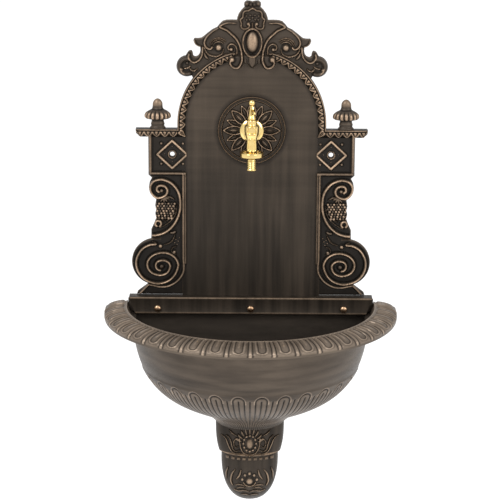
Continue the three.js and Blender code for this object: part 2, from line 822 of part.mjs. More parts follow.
function corbelRelief() {
  const bossHeight = corbelTop - 35 * corbelScale;
  const parts = [];
  const boss = new THREE.SphereGeometry(corbelScale, 8, 5);
  boss.scale(5, 3.4, 8.6);
  boss.translate(0, -corbelDepth(0, bossHeight), bossHeight);
  parts.push(solid(boss));
  const frameSteps = 10;
  const frame = Array.from({ length: frameSteps }, (_, i) => {
    const angle = 2 * Math.PI * i / frameSteps;
    return [9.7 * Math.sin(angle), 13 * Math.cos(angle)];
  });
  parts.push(corbelRidge(corbelDrawn(1, bossHeight, frame), 3, 1.9, { closed: true }));
  const cup = [[-15, 14], [-14, -6], [-9, -16], [0, -20], [9, -16], [14, -6], [15, 14]];
  parts.push(corbelRidge(corbelDrawn(1, bossHeight, cup), 2.4, 2));
  for (let i = -2; i <= 2; i++) {
    const angle = radians(i * 32);
    const [u, v] = [Math.sin(angle), Math.cos(angle)];
    parts.push(corbelRidge(corbelDrawn(1, bossHeight, [[15 * u, 16 * v], [23 * u, 26 * v]]), 3.4, 2.2));
  }
  for (const side of [1, -1]) {
    const scroll = [[15, 4], [20, 9], [26, 5], [28, -5], [25, -14], [19, -18], [15, -14], [18, -9], [22, -11]];
    const leaf = [[29, -16], [34, -6], [39, 3], [45, 9]];
    parts.push(corbelRidge(corbelDrawn(side, bossHeight, scroll), 2.6, 2));
    parts.push(corbelRidge(corbelDrawn(side, bossHeight, leaf), 3, 2, { taper: thinBoth }));
  }
  return join(parts);
}

function corbelLowerRelief() {
  const bossHeight = corbelLedge - 42 * corbelScale;
  const parts = [corbelBead(0, bossHeight, 6 * corbelScale)];
  const fan = [[0, 12.5, 2.6], [7, 9, 2.3], [11.5, 2, 2.3]];
  for (const [x, z, radius] of fan) {
    for (const side of x > 0 ? [1, -1] : [1]) {
      const [[px, pz]] = corbelDrawn(side, bossHeight, [[x, z]]);
      parts.push(corbelBead(px, pz, radius * corbelScale));
    }
  }
  for (const side of [1, -1]) {
    const sprays = [[[13, 15], [15, 8], [19, 1]], [[22, 15], [27, 8], [29, -2]], [[8, -8], [16, -6], [25, -9]]];
    for (const spray of sprays) {
      parts.push(corbelRidge(corbelDrawn(side, bossHeight, spray), 2.8, 1.8, { taper: thinBoth }));
    }
  }
  return join(parts);
}

function corbel() {
  const wide = corbelHalfWidth + beyond;
  const low = [-wide, 0, corbelTip - beyond];
  const behindWall = boxBetween(low, [wide, corbelFrontReach, corbelTop + beyond]);
  return corbelBody().add(corbelRelief()).add(corbelLowerRelief()).subtract(behindWall);
}

// Finials: a gadrooned cap on a short neck, flattened front to back and cut off flat at the wall

function finial(side) {
  const base = shelfTop + fitGap;
  const centre = side * finialSpacing / 2;
  const turnedOval = (rows, steps, nick) => {
    const rings = rows.map(([height, share]) => Array.from({ length: steps }, (_, i) => {
      const radius = finialCapRadius * share * (1 - (i % 2 ? 0 : nick));
      const angle = 2 * Math.PI * i / steps;
      const reach = finialAxisReach + radius * finialDepthFactor * Math.sin(angle);
      return [centre + radius * Math.cos(angle), -reach, base + finialHeight * height];
    }));
    return solid(loft(rings, rings[0].map(([x, y]) => [x, y])));
  };
  const neck = [[0, 0.55], [0.05, 0.6], [0.11, 0.49], [0.2, 0.53], [0.28, 0.46], [0.37, 0.5]];
  const cap = [[0.33, 0.8], [0.385, 1], [0.5, 0.94], [0.64, 0.48]];
  const bullet = [[0.55, 0.44], [0.72, 0.38], [0.9, 0.31], [1, 0.05]];
  const wide = finialCapRadius + beyond;
  const top = base + finialHeight + beyond;
  const behindWall = boxBetween([centre - wide, 0, base - beyond], [centre + wide, wide, top]);
  const capSteps = gadroonCount * 2;
  return join([turnedOval(neck, 10, 0), turnedOval(cap, capSteps, 0.1), turnedOval(bullet, 10, 0)])
    .subtract(behindWall);
}

// Screws

function screw(x) {
  const shank = disc(x, screwHeight, screwShankDiameter / 2, fitGap, flangeReach + fitGap + sink, 8);
  const start = flangeReach + fitGap;
  const steps = 10;
  const headRows = [[1, 0], [1, 1.4], [0.72, 3.2], [0.12, 3.9]];
  const rings = headRows.map(([share, out]) => Array.from({ length: steps }, (_, i) => {
    const angle = 2 * Math.PI * i / steps;
    const radius = screwHeadDiameter / 2 * share;
    return [x + radius * Math.cos(angle), -(start + out), screwHeight + radius * Math.sin(angle)];
  }));
  return shank.add(solid(loft(rings, rings[0].map(([px, , pz]) => [px, pz]))));
}

// Tap

// A turned shape about an upright axis at the tap's reach: rows of [radius, z].
function turned(rows, sides = 14) {
  const points = rows.map(([radius, z]) => new THREE.Vector2(radius, z));
  const geometry = new THREE.LatheGeometry(points, sides);
  geometry.rotateX(Math.PI / 2);
  geometry.translate(0, -tapReach, 0);
  return solid(geometry);
}

function onAxis(rows) {
  return [[0, rows[0][1]], ...rows, [0, rows[rows.length - 1][1]]];
}

function tapBody() {
  const wallFace = panelThickness + rosetteRise + fitGap;
  const barrelStart = wallFace + tapFlangeThickness - sink;
  const spoutHalf = tapSpoutWidth / 2;
  const axisUp = tapInletHeight;
  const collar = [[9, axisUp + 4], [10.4, axisUp + 6], [10.4, tapBodyTop - 1.5], [9, tapBodyTop]];
  const spout = [[spoutHalf, tapSpoutBottom], [spoutHalf, axisUp - 4], [9, axisUp], [9.6, axisUp + 5]];
  const gland = [[glandRadius, tapBodyTop - sink], [glandRadius, tapBodyTop + glandHeight - 1],
    [glandRadius - 1, tapBodyTop + glandHeight]];
  const parts = [
    disc(0, tapInletHeight, tapInletRadius, fitGap, barrelStart, 14),
    disc(0, tapInletHeight, tapFlangeDiameter / 2, wallFace, wallFace + tapFlangeThickness, 8),
    disc(0, tapInletHeight, tapBarrelRadius, barrelStart, tapReach, 14),
    turned(onAxis(spout)),
    turned(onAxis(collar), 8),
    turned(onAxis(gland), 8),
  ];
  const shield = new THREE.SphereGeometry(1, 8, 6);
  shield.scale(5, 3, 10);
  shield.translate(0, -tapReach - spoutHalf + 0.6, axisUp - 9);
  parts.push(solid(shield));
  const waterway = waterwayDiameter / 2;
  const down = turned(onAxis([[waterway, tapSpoutBottom - sink], [waterway, axisUp]]), 10);
  const inward = disc(0, tapInletHeight, waterway, -sink, tapReach, 10);
  return join(parts).subtract(down).subtract(inward);
}

function tapLever() {
  const base = tapBodyTop + glandHeight + fitGap;
  const top = base + leverHeight;
  const stem = turned(onAxis([[6, base], [6.4, base + 2], [4.6, base + 7], [4.2, base + 12], [3, top - 9],
    [2.6, top - 7]]), 8);
  const knob = new THREE.SphereGeometry(leverKnobRadius, 8, 6);
  knob.rotateX(Math.PI / 2);
  knob.translate(0, -tapReach, top - leverKnobRadius);
  const halfLength = leverBladeLength / 2;
  const low = base + 8;
  const half = [[halfLength - 2.5, low], [halfLength, low + 3], [halfLength - 4, low + 6.5], [4, low + 7],
    [3, low + 11]];
  const outline = [[0, low - 1], ...half, ...onSide(-1, half).reverse()];
  const shape = new THREE.Shape(outline.map(([along, z]) => new THREE.Vector2(along, z)));
  const blade = new THREE.ExtrudeGeometry(shape, { depth: leverBladeThickness, bevelEnabled: false });
  blade.translate(0, 0, -leverBladeThickness / 2);
  blade.rotateX(Math.PI / 2);
  blade.rotateZ(radians(90 + leverTurn));
  blade.translate(0, -tapReach, 0);
  return join([stem, solid(knob), solid(blade)]);
}

const ringTop = tapSpoutBottom - fitGap;
const ringBottom = ringTop - ringHeight;

function tapUnionRing() {
  const radius = ringDiameter / 2;
  const bore = hoseTailDiameter / 2 + fitGap;
  const rows = [[bore, ringBottom], [radius - 2.5, ringBottom], [radius, ringBottom + 2],
    [radius, ringTop - 1.5], [radius - 1.5, ringTop], [bore, ringTop], [bore, ringBottom]];
  return turned(rows, 16);
}

function tapHoseTail() {
  const radius = hoseTailDiameter / 2;
  const bottom = ringBottom - hoseTailLength;
  const bore = waterwayDiameter / 2;
  const rows = [[bore, ringTop], [radius, ringTop]];
  const barbs = 3;
  for (let i = 0; i < barbs; i++) {
    const z = ringBottom - 1 - (hoseTailLength - 4) * i / barbs;
    rows.push([radius, z], [radius - 0.8, z - 0.8]);
  }
  rows.push([radius + 0.4, bottom + 2.4], [radius + 0.4, bottom + 1], [radius - 0.6, bottom]);
  rows.push([bore, bottom], [bore, ringTop]);
  return turned(rows, 10);
}

// Materials

const bronzed = () => new THREE.MeshStandardMaterial({ color: 0x4a4038, roughness: 0.5, metalness: 0.7 });
const copper = () => new THREE.MeshStandardMaterial({ color: 0xb98f6c, roughness: 0.4, metalness: 0.85 });
const brass = () => new THREE.MeshStandardMaterial({ color: 0xd9b75c, roughness: 0.25, metalness: 0.95 });

// The scene graph

function meshOf(name, body, material) {
  const { vertProperties, triVerts } = body.getMesh();
  const geometry = new THREE.BufferGeometry();
  geometry.setAttribute('position', new THREE.BufferAttribute(Float32Array.from(vertProperties), 3));
  geometry.setIndex(Array.from(triVerts));
  geometry.computeVertexNormals();
  const mesh = new THREE.Mesh(geometry, material);
  mesh.name = name;
  return mesh;
}

const group = new THREE.Group();
group.add(meshOf('back_plate', backPlate(), bronzed()));
group.add(meshOf('basin', basin(), bronzed()));
group.add(meshOf('corbel', corbel(), bronzed()));
group.add(meshOf('finial_left', finial(-1), bronzed()));
group.add(meshOf('finial_right', finial(1), bronzed()));
const screwNames = ['screw_left', 'screw_middle', 'screw_right'];
screwPlaces().forEach((x, i) => group.add(meshOf(screwNames[i], screw(x), copper())));
group.add(meshOf('tap_body', tapBody(), brass()));
group.add(meshOf('tap_lever', tapLever(), brass()));
group.add(meshOf('tap_union_ring', tapUnionRing(), brass()));
group.add(meshOf('tap_hose_tail', tapHoseTail(), brass()));

export default group;
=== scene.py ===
"""The looks of a cast wall fountain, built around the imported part.

Lengths are in millimetres here and become metres where a mesh is made. +Z is up, the wall is y = 0 and
the front faces -Y. "Off" is a distance off the wall.
"""

import math

import bpy
import bmesh
import numpy as np
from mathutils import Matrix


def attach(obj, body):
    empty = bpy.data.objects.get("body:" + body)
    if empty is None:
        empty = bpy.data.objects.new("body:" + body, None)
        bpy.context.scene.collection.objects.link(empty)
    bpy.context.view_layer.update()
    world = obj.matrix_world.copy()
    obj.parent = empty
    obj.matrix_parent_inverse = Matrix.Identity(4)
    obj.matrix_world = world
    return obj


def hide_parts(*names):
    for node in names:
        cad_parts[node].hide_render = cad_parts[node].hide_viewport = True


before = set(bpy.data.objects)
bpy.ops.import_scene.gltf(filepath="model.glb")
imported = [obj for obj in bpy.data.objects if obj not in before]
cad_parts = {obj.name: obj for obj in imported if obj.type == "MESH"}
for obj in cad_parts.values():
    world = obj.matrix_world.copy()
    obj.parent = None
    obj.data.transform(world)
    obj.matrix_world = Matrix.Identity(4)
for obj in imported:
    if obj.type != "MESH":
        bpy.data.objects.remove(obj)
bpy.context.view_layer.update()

MM = 0.001

# Sizes repeated from the part

PANEL = 7.0
COLUMN = 6.0
CREST = 9.0
CREST_DROP = 0.5
MOULDING = 16.0
MOULDING_WIDTH = 11.5
ARCH_RADIUS = 109.5
ARCH_CENTRE = 47.0
SHELF_END = 170.8
SHELF_TOP = 39.2
HOLE_X = 117.5
HOLE_RADIUS = 3.5
ROSETTE_RADIUS = 50.7
ROSETTE_HEIGHT = 37.0
INLET_RADIUS = 10.3
FLANGE_TOP = -216.3
FLANGE_HEIGHT = 26.0
FLANGE_REACH = 20.0
FLANGE_END = 183.0
FLANGE_STEP = 5.4
SCREW_SPACING = 140.0
SCREW_HEIGHT = -233.8
SCREW_HEAD = 10.3
BASIN_BACK = 18.0
BASIN_WALL = 6.0
RIM_OUTER = 220.0
RIM_INNER = 186.0
RIM_TOP = -226.8
RIM_DROP = 17.0
RIB_ANGLE = 8.8
BOWL_TOP = -244.8
BOWL_BOTTOM = -408.3
BOWL_FLOOR = -398.3
CORBEL_HALF = 52.3
CORBEL_REACH = 28.0
CORBEL_TOP = -408.6
CORBEL_LEDGE = -458.7
CORBEL_TIP = -545.4
FINIAL_X = 138.5
FINIAL_BASE = 39.5
FINIAL_HEIGHT = 44.5
FINIAL_RADIUS = 19.5
FINIAL_AXIS = 8.6
TAP_REACH = 52.0
TAP_TOP = 53.0
TAP_NECK = 8.0
TAP_BORE = 4.5
UNION_TOP = 13.7
UNION_BOTTOM = 4.7
TAIL_LENGTH = 19.0
ROSETTE_RAISED = 1.2
SEAT_GAP = 0.3

# Sizes and tones of the looks alone

# The panel's back is sunk, because two backs in one plane show as dark strips
PANEL_SUNK = 0.3
REEDS_FROM = -314.0
REED_LOOP_TOP = -320.0
REED_LOOP_RADIUS = 159.0
REED_ANGLE = 3.0
COPPER = (0.46, 0.325, 0.22)
PALE_COPPER = (0.40, 0.31, 0.235)

# How far a part of the casting takes its material's darker tone, from 0 to 1: the casting's own darker
# grounds, and painted shade on the basin's inside
DARK_GROUND = 0.8
GREYER_GROUND = 0.35
# Painted shade: the basin's inside walls, its floor most, and the lip under the flange are darkened with the
# darker tone
INSIDE_WALL_PAINTED_SHADE = 0.55
INSIDE_FLOOR_PAINTED_SHADE = 0.7
INSIDE_LIP_PAINTED_SHADE = 0.5


# Curves and shapes in the wall's plane

def curve(points, step=0.6, closed=False):
    """A smooth line through the points, as a dense list."""
    points = np.array(points, float)
    if closed:
        padded = np.vstack([points[-1:], points, points[:2]])
    else:
        padded = np.vstack([2 * points[0] - points[1], points, 2 * points[-1] - points[-2]])
    pieces = []
    for a, b, c, d in zip(padded, padded[1:], padded[2:], padded[3:]):
        count = max(int(np.hypot(*(c - b)) / step), 2)
        t = np.linspace(0, 1, count, endpoint=False)[:, None]
        pieces.append(0.5 * (2 * b + (c - a) * t + (2 * a - 5 * b + 4 * c - d) * t**2
                             + (3 * b - a - 3 * c + d) * t**3))
    pieces.append(padded[-2:-1])
    return np.vstack(pieces)


def arc(x, z, radius, start, end, step=0.8):
    count = max(int(abs(math.radians(end - start)) * radius / step), 6)
    angles = np.radians(np.linspace(start, end, count))
    return np.stack([x + radius * np.cos(angles), z + radius * np.sin(angles)], axis=1)


def from_segment(x, z, start, end):
    """How far each place is from the line between two points."""
    dx, dz = end[0] - start[0], end[1] - start[1]
    t = np.clip(((x - start[0]) * dx + (z - start[1]) * dz) / max(dx * dx + dz * dz, 1e-9), 0, 1)
    return np.hypot(x - start[0] - t * dx, z - start[1] - t * dz)


def polygon_distance(outline, x, z):
    """How far each place is from a closed outline, below zero inside it."""
    best = np.full(x.shape, 1e9)
    inside = np.zeros(x.shape, bool)
    for (ax, az), (bx, bz) in zip(outline, np.roll(outline, -1, axis=0)):
        best = np.minimum(best, from_segment(x, z, (ax, az), (bx, bz)))
        if abs(bz - az) > 1e-9:
            inside ^= ((az > z) != (bz > z)) & (x < ax + (bx - ax) * (z - az) / (bz - az))
    return np.where(inside, -best, best)


def disc_distance(x, z, disc):
    """The same for a disc, given as (x, z, radius)."""
    return np.hypot(x - disc[0], z - disc[1]) - disc[2]


def smooth_step(t):
    t = np.clip(t, 0, 1)
    return t * t * (3 - 2 * t)


def bell(value, middle, width):
    return np.exp(-((value - middle) / width)**2)


def dome(share):
    return np.sqrt(np.clip(1 - share**2, 0, 1))


def thin_ends(t):
    return 0.35 + 0.65 * np.sin(np.pi * (0.08 + 0.84 * t))


def thin_far(t):
    return 1 - 0.55 * t**2


def thin_near(t):
    return thin_far(1 - t)


class Relief:
    """Heights off the wall at a set of places, with how worn and how hollow each place is."""

    def __init__(self, x, z, ground):
        self.shape = x.shape
        self.x = x.ravel().astype(float)
        self.z = z.ravel().astype(float)
        self.ground = np.broadcast_to(np.asarray(ground, float), x.shape).ravel().copy()
        self.rise = np.zeros(self.x.size)
        self.worn = np.zeros(self.x.size)
        self.hollow = np.zeros(self.x.size)

    def near(self, path, margin):
        low, high = path.min(axis=0) - margin, path.max(axis=0) + margin
        return np.nonzero((self.x > low[0]) & (self.x < high[0]) & (self.z > low[1]) & (self.z < high[1]))[0]

    def ridge(self, points, width, rise, thin=None, worn=1.0, groove=0.7, smooth=True):
        """A rounded ridge along a line, with a dark groove on both sides."""
        path = curve(points) if smooth else np.array(points, float)
        scale = np.ones(len(path)) if thin is None else thin(np.linspace(0, 1, len(path)))
        at = self.near(path, 2 * width)
        x, z = self.x[at], self.z[at]
        best = np.full(x.shape, 9.0)
        for start, end, size in zip(path[:-1], path[1:], scale):
            best = np.minimum(best, from_segment(x, z, start, end) / (width / 2 * size))
        self.raise_to(at, rise * dome(best))
        self.mark(at, worn * np.clip(1 - 1.1 * best**2, 0, 1), groove * bell(best, 1.45, 0.5))

    def strokes(self, table, side=1, lift=0.0):
        """Ridges from a table of (points, width, rise, thinning, worn)."""
        for points, width, rise, thin, worn in table:
            self.ridge([(side * x, lift + z) for x, z in points], width, rise, thin, worn)

    def bead(self, x, z, radius, rise=None, worn=0.9, groove=0.7):
        at = self.near(np.array([(x, z)]), 2 * radius)
        best = np.hypot(self.x[at] - x, self.z[at] - z) / radius
        height = radius * 0.8 if rise is None else rise
        self.raise_to(at, height * dome(best))
        self.mark(at, worn * np.clip(1 - 1.3 * best**2, 0, 1), groove * bell(best, 1.25, 0.35))

    def beads(self, table):
        """Beads from a table of (x, z, radius, rise, worn)."""
        for x, z, radius, rise, worn in table:
            self.bead(x, z, radius, rise, worn)

    def mound(self, outline, rise, slope, worn):
        """A raised area with sloping sides."""
        outline = np.array(outline, float)
        at = self.near(outline, 3 * slope)
        distance = polygon_distance(outline, self.x[at], self.z[at])
        share = smooth_step(-distance / slope)
        self.raise_to(at, rise * share)
        self.mark(at, worn * share, 0.3 * bell(distance, slope * 0.5, slope * 0.5))

    def oval(self, share, rise, worn):
        """A raised oval, where the share is 0 in its middle and 1 on its edge."""
        at = np.nonzero(share < 1)[0]
        self.raise_to(at, rise * dome(share[at]))
        self.mark(at, worn * (1 - share[at]**3), 0)

    def raise_to(self, at, height):
        self.rise[at] = np.maximum(self.rise[at], height)

    def mark(self, at, worn, hollow):
        self.worn[at] = np.maximum(self.worn[at], worn)
        self.hollow[at] = np.maximum(self.hollow[at], hollow)

    def height(self):
        low_down = np.clip(1 - self.rise / 1.2, 0, 1)
        return self.ground + self.rise - 0.7 * self.hollow * low_down

    def marks(self):
        """The worn and hollow marks: a place that stands up isn't hollow."""
        hollow = self.hollow * np.clip(1 - self.rise / 1.5, 0, 1)
        return np.clip(self.worn, 0, 1), np.clip(hollow, 0, 1)


# Meshes

def quad_faces(number):
    return np.stack([number[:-1, :-1], number[1:, :-1], number[1:, 1:], number[:-1, 1:]], axis=-1)


class Body:
    """Vertices with their marks, and faces, gathered for one mesh."""

    def __init__(self):
        self.points = []
        self.marks = []
        self.faces = []
        self.count = 0

    def add(self, points, faces, worn=0.0, hollow=0.0, tone_and_painted_shade=0.0):
        points = np.asarray(points, float).reshape(-1, 3)
        marks = [np.broadcast_to(np.asarray(value, float), len(points)) for value in (worn, hollow, tone_and_painted_shade)]
        self.points.append(points)
        self.marks.append(np.stack(marks, axis=1))
        self.faces += [tuple(int(k) + self.count for k in face) for face in faces]
        self.count += len(points)

    def cap(self, points, order=1, tone_and_painted_shade=0.0):
        """One flat face over a ring of points, turned over where the order is -1."""
        self.add(points, [tuple(range(len(points)))[::order]], tone_and_painted_shade=tone_and_painted_shade)

    def add_mirrored(self, other):
        points = np.vstack(other.points) * (-1, 1, 1)
        marks = np.vstack(other.marks)
        self.add(points, [face[::-1] for face in other.faces], *marks.T)

    def add_body(self, other):
        self.add(np.vstack(other.points), other.faces, *np.vstack(other.marks).T)

    def grid(self, points, worn=0.0, hollow=0.0, tone_and_painted_shade=0.0, loop=False):
        """Faces over a sheet of points, wound so that rows x columns face outward."""
        shape = np.shape(points)[:2]
        number = np.arange(shape[0] * shape[1]).reshape(shape)
        if loop:
            number = np.hstack([number, number[:, :1]])
        marks = [np.broadcast_to(value, shape).ravel() for value in (worn, hollow, tone_and_painted_shade)]
        self.add(points, quad_faces(number).reshape(-1, 4), *marks)

    def mesh(self, name, material, sharp=40, weld=0.02):
        points = np.vstack(self.points) * MM
        data = bpy.data.meshes.new(name)
        data.from_pydata(points.tolist(), [], self.faces)
        marks = np.vstack(self.marks)
        for k, label in enumerate(("worn", "hollow", "tone_and_painted_shade")):
            layer = data.attributes.new(label, "FLOAT", "POINT")
            layer.data.foreach_set("value", marks[:, k].astype(np.float32))
        data.validate()
        work = bmesh.new()
        work.from_mesh(data)
        bmesh.ops.remove_doubles(work, verts=work.verts, dist=weld * MM)
        bmesh.ops.dissolve_degenerate(work, edges=work.edges, dist=0.001 * MM)
        bmesh.ops.triangulate(work, faces=[face for face in work.faces if len(face.verts) > 4])
        work.to_mesh(data)
        work.free()
        data.polygons.foreach_set("use_smooth", np.ones(len(data.polygons), bool))
        data.set_sharp_from_angle(angle=math.radians(sharp))
        data.materials.append(material)
        piece = bpy.data.objects.new(name, data)
        bpy.context.scene.collection.objects.link(piece)
        return piece


def fill_back(loops):
    """Flat faces over closed loops of points, holes included."""
    work = bmesh.new()
    edges = []
    for loop in loops:
        verts = [work.verts.new(point) for point in loop]
        edges += [work.edges.new((a, b)) for a, b in zip(verts, verts[1:] + verts[:1])]
    bmesh.ops.triangle_fill(work, edges=edges, use_beauty=False)
    work.verts.index_update()
    points = [tuple(vert.co) for vert in work.verts]
    faces = [tuple(vert.index for vert in face.verts) for face in work.faces]
    work.free()
    return points, faces


def edge_loops(border):
    """The closed loops that a border's one-way edges make."""
    following = {}
    for a, b in border:
        following.setdefault(a, []).append(b)
    loops = []
    while following:
        here = next(iter(following))
        loop = []
        while here in following:
            ways = following[here]
            after = ways.pop()
            if not ways:
                del following[here]
            loop.append(here)
            here = after
        if len(loop) > 2:
            loops.append(loop)
    return loops


def clipped_sheet(body, relief, distance, edge, tone_and_painted_shade=0.0, sunk=0.0):
    """A relief as a sheet cut to an outline, with rounded edges, side walls and a flat back on the wall."""
    values = (relief.x, relief.z, relief.height(), *relief.marks())
    x, z, height, worn, hollow = (value.reshape(relief.shape) for value in values)
    slope_x, slope_z = np.gradient(distance, x[:, 0], z[0])
    steep = np.maximum(slope_x**2 + slope_z**2, 0.25)
    over = np.clip(distance, 0, None)
    x = x - over * slope_x / steep
    z = z - over * slope_z / steep
    share = np.clip(-distance / edge, 0, 1)
    height = height - edge * (1 - dome(1 - share))
    worn = np.maximum(worn, 0.3 * (1 - share))
    inside = distance < 0
    cells = inside[:-1, :-1] | inside[1:, :-1] | inside[:-1, 1:] | inside[1:, 1:]
    quads = quad_faces(np.arange(x.size).reshape(x.shape))[cells]
    used = np.unique(quads)
    quads = np.searchsorted(used, quads)
    front = np.stack([x, -height, z], axis=-1).reshape(-1, 3)[used]
    pairs = np.vstack([quads[:, [k, (k + 1) % 4]] for k in range(4)])
    keys = {tuple(pair) for pair in pairs.tolist()}
    border = [(a, b) for a, b in keys if (b, a) not in keys]
    ring = sorted({a for pair in border for a in pair})
    place = {a: i for i, a in enumerate(ring)}
    back = front[ring] * (1, 0, 1) - (0, sunk, 0)
    count = len(front)
    walls = [(b, a, count + place[a], count + place[b]) for a, b in border]
    marks = [np.r_[mark.ravel()[used], np.zeros(len(back))] for mark in (worn, hollow)]
    body.add(np.vstack([front, back]), quads.tolist() + walls, *marks, tone_and_painted_shade)
    points, faces = fill_back([[tuple(back[place[a]]) for a in loop] for loop in edge_loops(border)])
    body.add(points, faces)


def turned(body, rows, centre, sides, swell=1.0, worn=0.0, hollow=0.0, flat=1.0):
    """A lathe shape about an upright axis, from rows of (radius, height)."""
    angles = 2 * np.pi * np.arange(sides) / sides
    rows = np.array(rows, float)
    radius = rows[:, :1] * np.ones(sides) * swell
    points = np.stack([centre[0] + radius * np.cos(angles), centre[1] + flat * radius * np.sin(angles),
                       rows[:, 1:] * np.ones(sides)], axis=-1)
    body.grid(points, worn, hollow, loop=True)


def across_wall(body, rows, x, z, sides):
    """A lathe shape about an axis square to the wall, from rows of (radius, off)."""
    angles = 2 * np.pi * np.arange(sides) / sides
    rows = np.array(rows, float)
    points = np.stack([x + rows[:, :1] * np.cos(angles), -rows[:, 1:] * np.ones(sides),
                       z + rows[:, :1] * np.sin(angles)], axis=-1)
    body.grid(points[::-1], loop=True)


# Materials

class Finish:
    """A material, with the few kinds of nodes that these finishes need."""

    def __init__(self, name):
        self.material = bpy.data.materials.new(name)
        self.material.use_nodes = True
        self.nodes = self.material.node_tree.nodes
        self.shader = self.nodes["Principled BSDF"]

    def set(self, node, **values):
        """Sets a node's inputs to numbers or colours, or links them to what another node gives."""
        for label, value in values.items():
            socket = node.inputs[label.replace("_", " ")]
            if isinstance(value, bpy.types.NodeSocket):
                self.material.node_tree.links.new(value, socket)
            else:
                socket.default_value = value
        return node

    def place(self):
        return self.nodes.new("ShaderNodeTexCoord").outputs["Object"]

    def noise(self, scale, detail=3.0, stretch=(1, 1, 1)):
        mapping = self.set(self.nodes.new("ShaderNodeMapping"), Vector=self.place(), Scale=stretch)
        texture = self.nodes.new("ShaderNodeTexNoise")
        self.set(texture, Vector=mapping.outputs["Vector"], Scale=scale, Detail=detail)
        return texture.outputs["Fac"]

    def ranged(self, value, low, high, to_low=0.0, to_high=1.0):
        node = self.nodes.new("ShaderNodeMapRange")
        self.set(node, Value=value, From_Min=low, From_Max=high, To_Min=to_low, To_Max=to_high)
        return node.outputs["Result"]

    def times(self, a, b):
        node = self.nodes.new("ShaderNodeMath")
        node.operation = "MULTIPLY"
        for socket, value in zip(node.inputs, (a, b)):
            self.material.node_tree.links.new(value, socket)
        return node.outputs["Value"]

    def mix(self, fac, a, b):
        node = self.nodes.new("ShaderNodeMix")
        node.data_type = "RGBA"
        self.set(node, Factor=fac)
        for value, socket in ((a, node.inputs[6]), (b, node.inputs[7])):
            if isinstance(value, tuple):
                socket.default_value = (*value, 1)
            else:
                self.material.node_tree.links.new(value, socket)
        return node.outputs[2]

    def mark(self, label):
        node = self.nodes.new("ShaderNodeAttribute")
        node.attribute_name = label
        return node.outputs["Fac"]


def patina(name, ground, brushed, rubbed, tone, streaks, rising):
    """A dark cast metal, brushed in streaks and rubbed to copper on what stands up.

    The streaks are given as their stretch low down and high up, and "rising" is the pair of heights in metres
    between which the finish grows lighter.
    """
    finish = Finish(name)
    noise, ranged, mix, mark = finish.noise, finish.ranged, finish.mix, finish.mark
    apart = finish.set(finish.nodes.new("ShaderNodeSeparateXYZ"), Vector=finish.place())
    high = ranged(apart.outputs["Z"], *rising)
    low_streaks, high_streaks = (noise(85.0, 6.0, stretch) for stretch in streaks)
    grain = noise(420.0, 2.0)
    dark_brown = mix(ranged(low_streaks, 0.35, 0.68), ground, brushed)
    light_brown = mix(ranged(high_streaks, 0.3, 0.7), brushed, tuple(1.75 * value for value in brushed))
    base = mix(high, dark_brown, light_brown)
    base = mix(ranged(noise(9.0), 0.45, 0.7, 0.0, 0.45), base, ground)
    # The darker tone: the casting's own darker grounds, and painted shade on the basin's inside
    base = mix(mark("tone_and_painted_shade"), base, tone)
    wear = finish.times(ranged(mark("worn"), 0.1, 0.9), ranged(grain, 0.3, 0.55, 0.6, 1.0))
    wear = finish.times(wear, ranged(noise(55.0, 2.0), 0.35, 0.6, 0.62, 1.0))
    base = mix(wear, base, rubbed)
    base = mix(ranged(mark("hollow"), 0.1, 0.8, 0.0, 0.9), base, tuple(0.35 * value for value in ground))
    bump = finish.set(finish.nodes.new("ShaderNodeBump"), Strength=0.12, Distance=0.0006, Height=noise(900.0))
    finish.set(finish.shader, Base_Color=base, Metallic=ranged(wear, 0.0, 1.0, 0.4, 0.85),
               Roughness=ranged(grain, 0.3, 0.7, 0.36, 0.5))
    finish.set(finish.shader, Specular_IOR_Level=0.22, Normal=bump.outputs["Normal"])
    return finish.material


def polished(name, colour, dark, roughness):
    """A plain metal with a little unevenness and faint dark staining."""
    finish = Finish(name)
    stained = finish.mix(finish.ranged(finish.noise(60.0), 0.35, 0.65), dark, colour)
    finish.set(finish.shader, Base_Color=stained, Metallic=1.0, Roughness=roughness)
    return finish.material


def plate_material():
    return patina("plate_patina", (0.020, 0.0155, 0.0115), (0.050, 0.038, 0.028), COPPER,
                  (0.009, 0.0075, 0.0062), ((1, 1, 0.05), (0.05, 1, 1)), (-0.12, 0.17))


def basin_material():
    # Its darker tone is used only as painted shade on the basin's inside
    return patina("basin_patina", (0.040, 0.031, 0.024), (0.085, 0.066, 0.050), PALE_COPPER,
                  (0.022, 0.020, 0.018), ((0.12, 0.12, 1), (0.3, 0.3, 1)), (-0.30, -0.22))


# Back plate

def place_grid(x_from, x_to, z_from, z_to, step):
    xs = np.linspace(x_from, x_to, int(round((x_to - x_from) / step)) + 1)
    zs = np.linspace(z_from, z_to, int(round((z_to - z_from) / step)) + 1)
    return np.meshgrid(xs, zs, indexing="ij")


